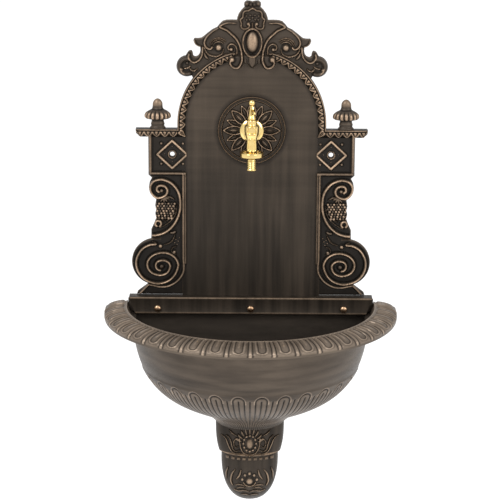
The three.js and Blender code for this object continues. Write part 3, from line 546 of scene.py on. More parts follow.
COLUMN_EDGE = [
    (96, 30), (153.1, 30), (153.1, -31.5), (148, -36), (151.5, -43), (152.8, -50), (152, -56), (150, -60.5),
    (147, -65), (142, -69), (143.5, -78), (142, -85), (143.5, -90), (142, -97), (145, -105), (149.5, -115),
    (149.8, -129),
]
UPPER_SCROLL = [
    (137.5, -57), (140.5, -54), (139.5, -49), (135, -47), (128.5, -48.5), (125, -54), (126.5, -60.5),
    (132, -64.5), (139, -66), (145, -63), (149.5, -56.5), (150, -48), (144.5, -40.5), (135, -38),
    (127, -39.5), (119, -43.5), (112, -51), (107.5, -60), (105.8, -71), (106, -82), (108.5, -93),
    (114, -104.5), (121.5, -113.5), (130, -119.5), (140, -122.8), (147, -123.5),
]
LOWER_SCROLL = [
    (142.7, -137.2), (152.9, -138.7), (163.1, -145.1), (169.5, -154.7), (172, -163.6), (171.4, -173.8),
    (166.9, -184.1), (158, -193), (141.4, -198.1), (126.1, -194.9), (115.9, -186.6), (110.2, -175.1),
    (109.6, -166.2), (114.7, -157.2), (123.6, -151.5), (133.8, -150.2), (144, -152.8), (151.6, -158.5),
    (155.4, -166.2), (154.2, -175.1), (147.8, -182.1), (136.3, -185.1), (126.1, -181.5), (121.7, -173.8),
    (122.3, -167.5), (127.4, -163), (133.8, -162), (140.2, -164.3), (143, -170), (140.8, -175.8),
    (136.3, -177.7),
]
LOWER_BORDER = [
    (100.7, -173.8), (102.6, -182.8), (108.3, -191.7), (115.9, -198.1), (126.1, -202.6), (137.6, -203.2),
    (146.5, -201.3), (154.2, -200),
]

LOWER_ROUND = (143.0, -164.9, 36.0)
COLUMN_KNOB = (137, -50, 15.5)
CREST_LOBE = (95.5, 132, 15.3)


def column_outline(x, z):
    edge = polygon_distance(COLUMN_EDGE + [(130, -128), (96, -128)], x, z)
    discs = np.minimum(disc_distance(x, z, LOWER_ROUND), disc_distance(x, z, COLUMN_KNOB))
    foot = polygon_distance([(96, -120), (135, -120), (150, -197), (154.6, -199), (170.5, -211.2),
                             (172, FLANGE_TOP + 1), (96, FLANGE_TOP + 1)], x, z)
    whole = np.minimum(np.minimum(edge, foot), discs)
    return np.maximum(whole, -disc_distance(x, z, (HOLE_X, 0, HOLE_RADIUS)))


COLUMN_STROKES = [
    ([(110.5, -76), (113, -91), (120, -101), (129, -108), (138, -112.5)], 2.2, 3.2, thin_ends, 0.35),
    ([(113.5, -76), (116.5, -90), (123, -99), (131, -102.5)], 1.8, 2.6, thin_ends, 0.35),
    ([(148, -133), (144, -134.5), (141, -137)], 2.2, 4.0, thin_ends, 0.3),
    ([(114, -118), (116.5, -119.5), (119.5, -119.5)], 4.6, 3.4, None, 0.35),
    ([(113.5, -121), (115.5, -127), (121, -134.5), (130, -138)], 2.2, 3.6, thin_ends, 0.4),
]
COLUMN_BEADS = [
    (133.5, -55, 3.4, 4.5, 0.6), (134, -171.5, 4.2, 4.6, 0.3), (135.8, -140.5, 3.4, None, 0.9),
    (115, -149.3, 2.4, None, 0.9),
]


def column_marks(relief):
    relief.ridge(UPPER_SCROLL, 4.4, 5.6, groove=1.0)
    relief.ridge(LOWER_SCROLL, 3.8, 5.4, groove=1.0)
    relief.strokes(COLUMN_STROKES)
    relief.beads(COLUMN_BEADS)
    relief.ridge(arc(113.5, -146.5, 5.6, 100, -100), 1.8, 3.2, smooth=False, worn=0.3)
    relief.ridge(arc(138.8, -105.5, 4.4, 240, -60), 4.0, 4.4, smooth=False)
    for k in range(7):
        relief.bead(107.5 + 1.7 * k, -130 - 2.6 * ((k * 2) % 5 - 1), 1.2, 1.4, worn=0.8)


def grapes(relief):
    """Rows of small round grapes that hang in the upper scroll, under two leaves."""
    pitch = 4.6
    for row in range(7):
        z = -75 - 3.7 * row
        left = 114 + 0.2 * (row - 1)**2 + (row % 2) * pitch / 2
        for k in range(int((143 - left) / pitch) + 1):
            shine = 0.95 if (3 * k + 2 * row) % 5 < 3 else 0.3
            relief.bead(left + k * pitch, z, 2.3, 2.6, worn=shine, groove=0.9)
    for turn in (-62, -30, 0, 32):
        tip = np.radians(-90 + turn)
        line = [(130, -65.5), (130 + 9 * math.cos(tip), -63.5 + 9 * math.sin(tip))]
        relief.ridge(line, 3.4, 3.2, thin_ends, worn=0.4)
    relief.ridge([(129, -66), (122, -64.5), (115, -68)], 3.0, 3.2, thin_ends, worn=0.4)


def block_marks(relief):
    outer, foot = 149.9, -28.5
    relief.ridge([(outer, 32), (outer, -25)], 5.2, 4.0, worn=0.5, smooth=False)
    relief.ridge([(98.5, foot), (outer, foot)], 4.6, 4.0, worn=0.5, smooth=False)
    wide, high = 22.176, 20.7
    corners = [(HOLE_X + wide * u, high * v) for u, v in ((1, 0), (0, 1), (-1, 0), (0, -1), (1, 0))]
    for start, end in zip(corners, corners[1:]):
        relief.ridge([start, end], 4.2, 3.3, smooth=False)
    relief.ridge(arc(HOLE_X, 0, 5.6, 0, 360), 2.0, 1.8, worn=0.7, smooth=False)
    for x, z in ((101.5, 16.5), (133.5, 16.5), (101.5, -14), (133.5, -14)):
        relief.bead(x, z, 2.5, 2.4, worn=0.5)
    for x, z in ((HOLE_X, 11.5), (HOLE_X, -10.5), (106.2, 0.6), (128.6, 0.6)):
        relief.bead(x, z, 1.2, 1.2, worn=0.5)


def column_side():
    """A hanging block with the scroll column under it, on the right."""
    x, z = place_grid(94.5, 181.0, FLANGE_TOP - 1, 31.0, 0.82)
    relief = Relief(x, z, COLUMN)
    block = smooth_step((relief.z + 32) / 1.2)
    relief.ground += (PANEL - COLUMN) * block
    column_marks(relief)
    grapes(relief)
    block_marks(relief)
    border = curve([(101.6, -158)] + LOWER_BORDER)
    border = np.vstack([[(101.6, -28.5)], border, [(166.5, FLANGE_TOP + 3)]])
    relief.ridge(border, 3.8, 4.6, worn=0.62, smooth=False)
    relief.ridge([(98.2, -28.5), (98.2, -166)], 3.4, 4.4, worn=0.4, smooth=False)
    body = Body()
    clipped_sheet(body, relief, column_outline(x, z), 2.6, DARK_GROUND)
    return body


CREST_EDGE = [
    (0, 226.6), (4, 227.6), (8.5, 228), (11.8, 225.5), (12.5, 222), (11.5, 219), (16, 214.5), (20, 209),
    (22.2, 203), (22.5, 199.8), (30, 200), (38, 199.7), (43.5, 198), (48, 193.5), (51.5, 189), (58, 186),
    (64, 181.5), (70, 176.5), (74, 173.5), (79, 172.7), (84.6, 172.8), (86, 170), (85, 167), (82.5, 163.5),
    (79, 161.3), (76, 160), (75.7, 155), (76.8, 150.5), (79.5, 147), (83.5, 145.8), (86.3, 147.5), (87, 152),
    (88.5, 155), (91, 155), (93.5, 153.5), (97, 147.8),
]
CREST_FOOT = [
    (0, 129), (3, 130), (6, 134), (9, 137), (12, 136), (14.5, 131.5), (18, 127.8), (24, 127), (30, 129),
    (34.5, 134.5), (36, 141), (33, 148), (0, 152),
]


BIG_C = [
    (47, 189.6), (40, 186.5), (36, 184.5), (31, 180), (26, 175.5), (22, 170.5), (19, 164.5), (17, 158),
    (15.8, 153), (15, 142), (18.8, 133), (23.7, 130.5), (29.6, 133), (32.2, 138), (31, 142),
]
CARTOUCHE = [
    (0, 217.5), (3, 216), (6, 214), (9, 213.8), (12, 212.5), (13.5, 210), (14, 204.5), (17.5, 201),
    (17, 198.5), (16, 195), (16.5, 192), (15.5, 189), (13, 187.5), (10, 187.5), (7, 188.5), (5, 190.5),
    (4.5, 193), (5, 196),
]
CREST_STROKES = [
    ([(24, 195.5), (34, 196), (40, 195), (45, 192.5), (47.5, 190.3), (47, 189.6)], 2.6, 4.4, thin_near, 1.0),
    ([(22.5, 151), (22.5, 158), (25, 163), (30, 165.5), (34, 163.5), (35.5, 160), (34, 157)],
     2.4, 4.2, None, 1.0),
    ([(25, 151), (38, 150), (47, 146.5)], 1.8, 3.0, thin_far, 1.0),
    ([(50, 188), (57, 184), (62, 180), (67, 174.5), (69.5, 169), (69.5, 164.5), (67, 160), (63, 157.8),
      (60, 158.3), (58.5, 160.5)], 3.0, 4.6, thin_near, 1.0),
    ([(42, 157.5), (43, 153), (46, 149.5), (52, 147), (58, 147.5), (64, 150), (68, 155), (69.5, 160)],
     2.4, 4.0, thin_ends, 1.0),
    ([(64, 143), (68, 147), (70, 152)], 3.4, 3.4, thin_ends, 0.5),
    ([(72, 160), (73, 150), (76, 143.5), (81, 139), (86, 138), (90.5, 141), (93, 146), (92, 150)],
     2.8, 4.6, None, 1.0),
    ([(75, 161.5), (80, 162.5), (83.5, 166), (84, 170.5)], 3.2, 3.2, thin_ends, 0.6),
    ([(80, 129), (84, 125.8), (88, 126), (91.5, 129.5)], 2.4, 3.6, thin_ends, 1.0),
    ([(99, 121), (103, 124), (105, 129)], 2.0, 4.8, thin_ends, 0.8),
    ([(90, 133), (94, 130), (99, 129)], 2.4, 3.2, thin_ends, 1.0),
    (CARTOUCHE, 2.2, 4.6, None, 1.0),
    ([(0, 186), (0, 196)], 2.2, 3.0, None, 0.5),
]
CREST_BEADS = [
    (29.4, 143.2, 4.4, 5.4, 0.9), (30.7, 157.3, 3.0, 4.2, 0.9), (49, 160, 5.2, 4.8, 0.9),
    (103.5, 127.5, 3.0, 5.2, 0.5), (95, 137, 2.4, 2.0, 0.2), (6, 194.5, 2.8, 3.6, 0.9),
    (8.5, 224, 3.6, 3.6, 0.25), (2.8, 222.5, 2.4, 3.2, 0.15),
]


def crest_marks(relief):
    relief.ridge(BIG_C, 3.0, 5.2, groove=0.9)
    relief.strokes(CREST_STROKES)
    relief.beads(CREST_BEADS)
    for radius, rise in ((8.6, 3.0), (11.4, 2.6), (14.0, 2.2)):
        relief.ridge(arc(49, 160, radius, 15, 140), 1.6, rise, thin_ends, worn=0.9, groove=0.3, smooth=False)
    relief.ridge(arc(95.5, 132, 11.2, 100, -110), 6.4, 4.0, worn=0.14, smooth=False)
    oval = [(13.7 * math.cos(a), 167.4 + 20.3 * math.sin(a)) for a in np.linspace(0, 2 * math.pi, 40)]
    relief.ridge(oval, 2.8, 4.8, smooth=False)
    for x, z in ((3.5, 207), (9, 206), (4, 201), (0, 203.5), (8.5, 200.5)):
        relief.bead(x, z, 1.8, 2.0, worn=0.3)
    middle = [(-5.4, 147), (5.4, 147), (5.8, 140), (3.4, 134.5), (0, 130.5), (-3.4, 134.5), (-5.8, 140)]
    relief.mound(middle, 3.0, 1.6, worn=0.2)
    relief.mound([(7.6, 145), (12.6, 145), (12.4, 138), (9.8, 133), (7.4, 138)], 2.2, 1.4, worn=0.14)


def oval_boss(relief):
    share = np.hypot(relief.x / 8.7, (relief.z - 168.3) / 15.6)
    relief.oval(share, 5.6, 0.8)
    ring = np.nonzero(share < 1.3)[0]
    relief.mark(ring, 0, bell(share[ring], 1.12, 0.12))


def both_sides(values):
    """The values of a right half, mirrored to the left."""
    return np.vstack([values[:0:-1], values])


def crest_body():
    x, z = place_grid(0.0, 112.0, 100.0, 229.0, 0.8)
    foot = polygon_distance(CREST_FOOT + [(-20, 152), (-20, 129)], x, z)
    relief = Relief(x, z, CREST + 5 * smooth_step(-foot / 2.5))
    crest_marks(relief)
    oval_boss(relief)
    main = CREST_EDGE + [(96, 132), (84, 110), (60, 132), (30, 143), (0, 147), (-20, 147), (-20, 226.6)]
    lobe = disc_distance(x, z, CREST_LOBE)
    outline = np.minimum(np.minimum(polygon_distance(main, x, z), lobe), foot)
    outline = np.maximum(outline, ARCH_RADIUS - 6 - np.hypot(x, z - ARCH_CENTRE) - 60 * (foot < 2))
    whole = Relief(np.vstack([-x[:0:-1], x]), both_sides(z), 0.0)
    halves = (relief.ground, relief.rise, relief.worn, relief.hollow)
    whole.ground, whole.rise, whole.worn, whole.hollow = (
        both_sides(half.reshape(x.shape)).ravel() for half in halves)
    body = Body()
    clipped_sheet(body, whole, both_sides(outline), 2.4, GREYER_GROUND)
    for points in body.points:
        points[:, 2] -= CREST_DROP
    return body


def moulding_stations(step=0.8):
    """Places along the shelf, round its inner corner and up the arch.

    Each is a point, the inward direction, the reach inward, how far it has gone in leaves, and, at the corner
    only, how far it is turned from the corner's middle.
    """
    places = []
    shelf_leaves = 5
    pitch = (SHELF_END - ARCH_RADIUS) / shelf_leaves
    for x in np.linspace(SHELF_END, ARCH_RADIUS, 80)[:-1]:
        end = smooth_step((SHELF_END - x + 2) / 9)
        places.append((x, SHELF_TOP, 0.0, -1.0, 0.55 + 0.55 * end, (SHELF_END - x) / pitch, -1.0))
    for angle in np.linspace(-90, -180, 25):
        u, v = math.cos(math.radians(angle)), math.sin(math.radians(angle))
        reach = (1.1 - 0.1 * (angle < -135)) / max(abs(u), abs(v))
        swing = abs(math.sin(math.radians(angle + 135)))
        places.append((ARCH_RADIUS, SHELF_TOP, u, v, reach, shelf_leaves, swing))
    travelled = 0.0
    for z in np.arange(SHELF_TOP, ARCH_CENTRE, step):
        places.append((ARCH_RADIUS, z, -1.0, 0.0, 1.0, shelf_leaves + travelled / pitch, -1.0))
        travelled += step
    turn = math.degrees(step / ARCH_RADIUS)
    for angle in np.arange(0, 90 + turn / 2, turn):
        u, v = math.cos(math.radians(angle)), math.sin(math.radians(angle))
        leaves = shelf_leaves + travelled / pitch
        places.append((ARCH_RADIUS * u, ARCH_CENTRE + ARCH_RADIUS * v, -u, -v, 1.0, leaves, -1.0))
        travelled += step
    return np.array(places), pitch


def moulding_leaves(half, pitch, across):
    """The row of pointed leaves inside the bead: their rise, worn edges and the dark between them."""
    at_corner = half[:, 6:7] >= 0
    local = np.abs(half[:, 5:6] % 1 - 0.5) * pitch
    side = np.where(at_corner, across * half[:, 4:5] * np.abs(half[:, 6:7]), local)
    share = np.clip((across[None, :] - 3.4) / 7.7, 0, 1)
    straight = (pitch / 2 - 0.4) * (1 - share**1.7)**0.9
    leaf = np.where(at_corner, 3.0 * np.sin(np.pi * share**0.9), straight)
    line = bell(side, leaf, 0.95 / 0.74)
    core = smooth_step((leaf * 0.55 - 0.5 - side) / 0.9) * smooth_step((0.74 - share) / 0.12)
    outside = smooth_step((side - leaf - 0.9) / 1.0)
    between = smooth_step((leaf - side - 0.8) / 0.6) * (1 - core)
    on_leaf = ((across > 3.6) & (across < 11.4))[None, :] * 1.0
    rise = on_leaf * (1.4 * line + 1.1 * core - 1.5 * outside - 0.3 * between)
    worn = on_leaf * np.maximum(0.95 * line, 0.75 * core)
    hollow = on_leaf * np.maximum(outside, 0.75 * between) * (1 - line)
    return rise, worn, hollow


def moulding_body():
    """The arch and shelf moulding: an outer bead, a groove, and a row of leaves that point inward."""
    half, pitch = moulding_stations()
    across = np.array([0, 0, 0.2, 0.7, 1.2, 1.7, 2.1, 2.5, 2.9, 3.3, 3.7, 4.1, 4.6, 5.1, 5.6, 6.1, 6.6, 7.1,
                       7.6, 8.1, 8.6, 9.1, 9.6, 10.1, 10.6, 11.0, 11.3, MOULDING_WIDTH, MOULDING_WIDTH])
    off = np.array([0, 14.6, 15.3, 15.9, MOULDING, 15.6, 14.8, 13.6, 13.0, 13.0, 13.3, 13.5, 13.4, 13.2, 13.0,
                    12.7, 12.4, 12.1, 11.8, 11.5, 11.2, 10.8, 10.4, 10.0, 9.5, 9.0, 8.4, 7.6, 5.0])
    rise, worn, hollow = moulding_leaves(half, pitch, across)
    worn = np.maximum(worn, 0.7 * bell(across, 1.1, 0.8))
    hollow = np.maximum(hollow, bell(across, 3.0, 0.55))
    under_foot = smooth_step((31 - half[:, 0:1]) / 4)
    height = off + rise
    height = height * (1 - under_foot) + np.minimum(height, CREST - 1) * under_foot
    reach = across * half[:, 4:5]
    x = half[:, 0:1] + half[:, 2:3] * reach
    z = half[:, 1:2] + half[:, 3:4] * reach
    points = np.stack([x, -height, z], axis=-1)
    right = Body()
    right.grid(points[:, ::-1], worn[:, ::-1], hollow[:, ::-1], DARK_GROUND)
    inner = points[:, -1]
    behind = inner * (1, 0, 1) - (0, PANEL_SUNK / 2, 0)
    right.grid(np.stack([points[:, 0], behind, inner], axis=1), tone_and_painted_shade=DARK_GROUND)
    right.cap(np.vstack([points[0], behind[:1]]), -1, DARK_GROUND)
    body = Body()
    body.add_body(right)
    body.add_mirrored(right)
    return body


def petal_path(angle, start, tip, half_width):
    """The closed outline of one petal, from its foot to its tip and back."""
    share = np.linspace(0, 1, 24)
    along = start + (tip - start) * share
    wide = half_width * np.sin(np.pi * share**0.85)**0.8
    u, v = math.cos(angle), math.sin(angle)
    forth = np.stack([along * u - wide * v, ROSETTE_HEIGHT + along * v + wide * u], axis=1)
    back = np.stack([along * u + wide * v, ROSETTE_HEIGHT + along * v - wide * u], axis=1)
    return np.vstack([forth, back[::-1]])


def rosette_body():
    rings = np.append(np.arange(INLET_RADIUS, ROSETTE_RADIUS - 0.4, 0.95), ROSETTE_RADIUS)
    radius, angle = np.meshgrid(rings, np.radians(np.arange(360)), indexing="ij")
    relief = Relief(radius * np.cos(angle), ROSETTE_HEIGHT + radius * np.sin(angle), PANEL + ROSETTE_RAISED)
    for ring, width, rise in ((49.2, 1.9, 2.0), (44.6, 1.7, 1.7)):
        relief.ridge(arc(0, ROSETTE_HEIGHT, ring, 0, 360), width, rise, worn=0.85, groove=1.0, smooth=False)
    turns = [math.pi / 4 * k for k in range(8)]
    for turn in turns:
        between = turn + math.pi / 8
        relief.ridge(petal_path(between, 14, 39.0, 4.4), 1.7, 2.0, groove=1.0, smooth=False)
        relief.mound(petal_path(between, 22, 35, 2.0), 2.0, 1.6, worn=0.12)
    for turn in turns:
        outline = petal_path(turn, 13, 41.5, 6.2)
        at = relief.near(outline, 1.0)
        inside = smooth_step(-polygon_distance(outline, relief.x[at], relief.z[at]) / 0.8)
        relief.rise[at] *= 1 - inside
        relief.worn[at] *= 1 - inside
        relief.ridge(outline, 1.9, 3.0, groove=1.0, smooth=False)
        relief.mound(petal_path(turn, 19, 36, 2.9), 2.6, 2.2, worn=0.3)
    values = (relief.x, relief.z, relief.height(), *relief.marks())
    x, z, height, worn, hollow = (value.reshape(radius.shape) for value in values)
    height[-1] = PANEL - 0.5
    front = np.stack([x, -height, z], axis=-1)
    inner, outer = front[0] * (1, 0, 1), front[-1] * (1, 0, 1)
    pad = np.zeros((1, radius.shape[1]))
    body = Body()
    body.grid(np.concatenate([inner[None], front]), np.vstack([pad, worn]), np.vstack([pad, hollow]),
              GREYER_GROUND, loop=True)
    body.grid(np.stack([outer, inner]), loop=True)
    return body


def panel_body():
    x, z = place_grid(-106.0, 106.0, FLANGE_TOP - 2, ARCH_CENTRE + ARCH_RADIUS - 2, 2.0)
    relief = Relief(x, z, PANEL)
    arch = np.maximum(np.hypot(x, z - ARCH_CENTRE) - (ARCH_RADIUS - 2), ARCH_CENTRE - 3 - z)
    box = np.maximum(np.abs(x) - 103, np.maximum(z - ARCH_CENTRE, FLANGE_TOP - 1 - z))
    outline = np.minimum(arch, box)
    outline = np.maximum(outline, ROSETTE_RADIUS - 4 - np.hypot(x, z - ROSETTE_HEIGHT))
    halo = np.hypot(relief.x, relief.z - ROSETTE_HEIGHT)
    relief.hollow += 0.55 * np.exp(-((halo - ROSETTE_RADIUS) / 5)**2)
    inside_arch = np.hypot(relief.x, np.clip(relief.z - ARCH_CENTRE, 0, None))
    relief.hollow += 0.5 * smooth_step((inside_arch - 91) / 8)
    body = Body()
    clipped_sheet(body, relief, outline, 0.01, sunk=PANEL_SUNK)
    return body


def flange_body():
    """The foot flange: a strip with rounded front edges, its ends following the basin's inside."""
    top, bottom = FLANGE_TOP, FLANGE_TOP - FLANGE_HEIGHT
    step, behind = top - FLANGE_STEP, BASIN_WALL + SEAT_GAP
    section = np.array([(0.0, top), (12.0, top), (18.0, top), (19.2, top - 0.3), (FLANGE_REACH, top - 1.2),
                        (FLANGE_REACH, top - 2.4), (19.6, top - 3.6), (19.6, top - 12), (19.6, bottom + 3.4),
                        (FLANGE_REACH, bottom + 2.4), (FLANGE_REACH, bottom + 1.0), (19.2, bottom + 0.2),
                        (18.0, bottom), (behind, bottom), (behind, step), (0.0, step)])
    worn = np.array([0, 0, 0.1, 0.3, 0.4, 0.25, 0, 0, 0.1, 0.3, 0.4, 0.2, 0, 0, 0, 0])
    share = np.linspace(-1, 1, 221)[:, None]
    off, z = section.T
    end = FLANGE_END - 9 * (top - z) / FLANGE_HEIGHT
    points = np.stack(np.broadcast_arrays(share * end, -off, z), axis=-1)
    body = Body()
    body.grid(points[:, ::-1], worn[::-1])
    body.cap(points[0])
    body.cap(points[-1], -1)
    body.grid(np.stack([points[:, -1], points[:, 0]])[::-1])
    return body


def back_plate():
    body = Body()
    right = column_side()
    body.add_body(right)
    body.add_mirrored(right)
    for part in (panel_body(), crest_body(), moulding_body(), rosette_body(), flange_body()):
        body.add_body(part)
    return body.mesh("back_plate_casting", plate_material(), sharp=50)


# Basin

def bowl_profile(count):
    """The bowl's outside, from its top to its foot, as (radius, z)."""
    height = BOWL_TOP - BOWL_BOTTOM
    a, b = np.array([178.4, BOWL_TOP]), np.array([171.8, BOWL_TOP - 0.862 * height])
    c, d = np.array([86.5, BOWL_TOP - 0.732 * height]), np.array([51.8, BOWL_BOTTOM])
    t = np.linspace(0, 1, count)[:, None]
    return a * (1 - t)**3 + 3 * b * t * (1 - t)**2 + 3 * c * t**2 * (1 - t) + d * t**3


def on_plan(radius, z, degrees):
    """Places on the basin's plan, which is a half circle in front of two short straight ends."""
    angle = np.radians(degrees)
    places = np.broadcast_arrays(radius * np.cos(angle), -BASIN_BACK - radius * np.sin(angle), z)
    return np.stack(places, axis=-1)


def with_ends(points):
    """Adds the straight ends of the plan, back to the wall, to a sheet of rows by columns."""
    on_wall = points[:, [0, -1]] * (1, 0, 1)
    return np.concatenate([on_wall[:, :1], points, on_wall[:, 1:]], axis=1)


def with_end_marks(marks):
    return np.concatenate([marks[:, :1], marks, marks[:, -1:]], axis=1)


def reeds(degrees, radius, z):
    """The reeding of the lower bowl: loops over pairs of reeds, with two plain reeds between two loops."""
    unit = 4 * REED_ANGLE
    side = np.abs((degrees - 90) % unit - unit / 2)
    spacing = np.radians(REED_ANGLE) * radius
    over = np.radians(side) * radius
    across_gap = np.radians(unit / 2 - side) * radius
    centre_z = REED_LOOP_TOP - np.radians(REED_ANGLE) * REED_LOOP_RADIUS
    reach = np.where(z > centre_z, np.hypot(over, np.clip(z - centre_z, 0, None)), over)
    loop_line = np.abs(reach - spacing)
    middle = np.where(z < centre_z + 1.5, over, np.hypot(over, z - centre_z - 1.5))
    between = np.where(z < centre_z + 2, across_gap, np.hypot(across_gap, z - centre_z - 2))
    gap = np.minimum(loop_line, np.minimum(middle, between))
    inside_loop = reach < spacing
    fade = smooth_step((np.where(inside_loop, REED_LOOP_TOP, centre_z + 4) - z) / 3.0)
    rounded = dome(1 - np.clip(gap / (spacing / 2), 0, 1))
    groove = bell(gap, 0, np.clip(spacing * 0.13, 0.5, 1.1))
    lip = bell(reach, spacing + 1.9, 0.9) * (z > centre_z - 4)
    depth = 1.7 * fade * (1 - rounded) * (inside_loop | (z < centre_z + 3))
    line_depth = 1.2 * bell(loop_line, 0, 1.0) * (z > centre_z)
    off_end = smooth_step(np.minimum(degrees, 180 - degrees) / 1.5)
    relief = (0.5 * lip - np.maximum(depth, line_depth)) * off_end + smooth_step((REEDS_FROM - z) / 4)
    dark = groove * np.where(gap == loop_line, 1.0, fade) * (z < REED_LOOP_TOP + 2)
    bright = (0.55 * lip + 0.28 * rounded * fade) * smooth_step((z - BOWL_BOTTOM) / 12)
    return relief, np.clip(bright, 0, 1) * off_end, np.clip(dark, 0, 1) * off_end


def bowl_body():
    body = Body()
    profile = bowl_profile(400)
    loops_to = -346.0
    upper_z = np.linspace(BOWL_TOP, REEDS_FROM, 22)
    lower_z = np.append(np.linspace(REEDS_FROM, loops_to, 28), np.linspace(loops_to - 2, BOWL_BOTTOM, 22))
    for heights, count, reeded in ((upper_z, 180, False), (lower_z, 720, True)):
        z = heights[:, None]
        radius = np.interp(-z, -profile[:, 1], profile[:, 0])
        degrees = np.linspace(0, 180, count + 1)
        relief, marks = 0, ()
        if reeded:
            relief, *marks = reeds(degrees, radius, z)
            marks = [with_end_marks(mark) for mark in marks]
        body.grid(with_ends(on_plan(radius + relief, z, degrees)), *marks)
    foot = on_plan(profile[-1, 0], BOWL_BOTTOM, np.linspace(0, 180, 721))
    body.cap(with_ends(foot[None])[0])
    return body


def rim_relief(degrees, radius, share):
    """The ribs and eggs of the rim: their rise, worn edges and the dark beside them."""
    local = np.abs((degrees - 90 + RIB_ANGLE / 2) % RIB_ANGLE - RIB_ANGLE / 2)
    rib_away = np.radians(local) * radius
    loop_away = np.radians(RIB_ANGLE / 2 - local) * radius
    along = share * 34
    loop_centre, loop_half = 20.0, 7.6
    loop_reach = np.where(along > loop_centre, np.hypot(loop_away, along - loop_centre), loop_away)
    loop_line = np.abs(loop_reach - loop_half)
    within = loop_reach < loop_half
    rib_half = 1.3 + 1.0 * share
    rib = dome(rib_away / rib_half)
    loop = dome(loop_line / 1.5)
    egg = np.clip(1 - (loop_away / 6.0)**2, 0, 1) * smooth_step((26 - along) / 8) * within
    streak = bell(loop_away, 0, 1.5) * smooth_step((19 - along) / 5)
    beside = bell(rib_away, rib_half + 1.2, 0.9)
    inside_line = bell(loop_line, 2.2, 1.0) * within
    spandrel = smooth_step((rib_away - rib_half - 2.2) / 1.5) * smooth_step((loop_line - 2.0) / 1.5) * ~within
    spandrel = spandrel * smooth_step((along - 16) / 8)
    rise = 2.0 * rib + np.maximum(1.9 * loop, 1.7 * egg) + 0.9 * spandrel - 0.8 * beside
    rise = rise * smooth_step((share - 0.02) / 0.06)
    rubbed = rib * (0.4 + 0.7 * smooth_step((share - 0.55) / 0.4))
    edge = 0.5 * bell(share, 0.03, 0.03)
    worn = np.broadcast_arrays(rubbed, 0.62 * loop, 0.75 * streak, 0.22 * egg, 0.3 * spandrel, edge, 0.14)
    return rise, np.max(worn, axis=0), np.maximum(0.95 * beside, 0.8 * inside_line)


def rim_body():
    degrees = np.linspace(0, 180, 541)
    share = np.linspace(0, 1, 34)[:, None]
    start = RIM_INNER + 2.5
    turn = share * math.pi / 2
    radius = start + (RIM_OUTER - start) * np.sin(turn)
    fall = RIM_TOP - 1.0 - (RIM_DROP - 5.0) * (1 - np.cos(turn))
    rise, worn, dark = rim_relief(degrees, radius, share)
    reach = np.minimum(radius + 0.5 * rise * np.sin(turn), RIM_OUTER)
    top = on_plan(reach, fall + rise * np.cos(turn), degrees)
    under = RIM_TOP - RIM_DROP
    inner_rows = [(RIM_INNER - 6, under - 3), (RIM_INNER - 0.4, RIM_TOP - 2), (RIM_INNER, RIM_TOP),
                  (RIM_INNER + 1.6, RIM_TOP)]
    outer_rows = [(RIM_OUTER, under + 2.5), (RIM_OUTER - 0.6, under), (180, under - 1.5), (176, under - 3)]
    inner, outer = (np.array([on_plan(*row, degrees) for row in rows]) for rows in (inner_rows, outer_rows))
    sheet = with_ends(np.concatenate([inner, top, outer]))
    wide = sheet.shape[1]
    plain = np.zeros((len(outer), wide))
    body = Body()
    body.grid(sheet, np.vstack([np.full((len(inner), wide), 0.45), with_end_marks(worn), plain]),
              np.vstack([np.zeros((len(inner), wide)), with_end_marks(dark), plain]))
    body.cap(sheet[:, 0])
    body.cap(sheet[:, -1], -1)
    return body


def inside_body():
    """The hollow of the basin and its flat back wall."""
    profile = bowl_profile(400)
    heights = np.linspace(BOWL_TOP, BOWL_FLOOR + 10, 22)
    radius = np.interp(-heights, -profile[:, 1], profile[:, 0]) - BASIN_WALL
    rows = [(RIM_INNER - 5, RIM_TOP - RIM_DROP + 2), *zip(radius, heights),
            (radius[-1] - 8, BOWL_FLOOR + 2), (radius[-1] - 14, BOWL_FLOOR)]
    degrees = np.linspace(0, 180, 121)
    sheet = with_ends(np.array([on_plan(*row, degrees) for row in rows]))
    sheet[:, [0, -1], 1] = -BASIN_WALL
    body = Body()
    # Painted shade: the inside walls take the darker tone, and the floor takes more of it
    body.grid(sheet[::-1], tone_and_painted_shade=INSIDE_WALL_PAINTED_SHADE)
    body.cap(sheet[-1], -1, INSIDE_FLOOR_PAINTED_SHADE)
    body.cap(np.concatenate([sheet[:, 0], sheet[::-1, -1]]), 1, INSIDE_WALL_PAINTED_SHADE)
    top = FLANGE_TOP - FLANGE_STEP - SEAT_GAP
    half = RIM_INNER - 1
    lip = [(x, y, z) for y in (-BASIN_WALL, 0) for x, z in ((-half, BOWL_TOP), (half, BOWL_TOP), (half, top),
                                                            (-half, top))]
    # Painted shade: the lip under the flange's step takes the darker tone
    body.add(lip, [(0, 1, 2, 3), (3, 2, 6, 7), (1, 5, 6, 2), (4, 0, 3, 7), (5, 4, 7, 6)], tone_and_painted_shade=INSIDE_LIP_PAINTED_SHADE)
    back = [(radius, 0, z) for radius, z in bowl_profile(40)]
    body.cap(back + [(-x, y, z) for x, y, z in back[::-1]], -1)
    return body


def basin():
    body = Body()
    for part in (bowl_body(), rim_body(), inside_body()):
        body.add_body(part)
    return body.mesh("basin_casting", basin_material(), sharp=50)


# Corbel

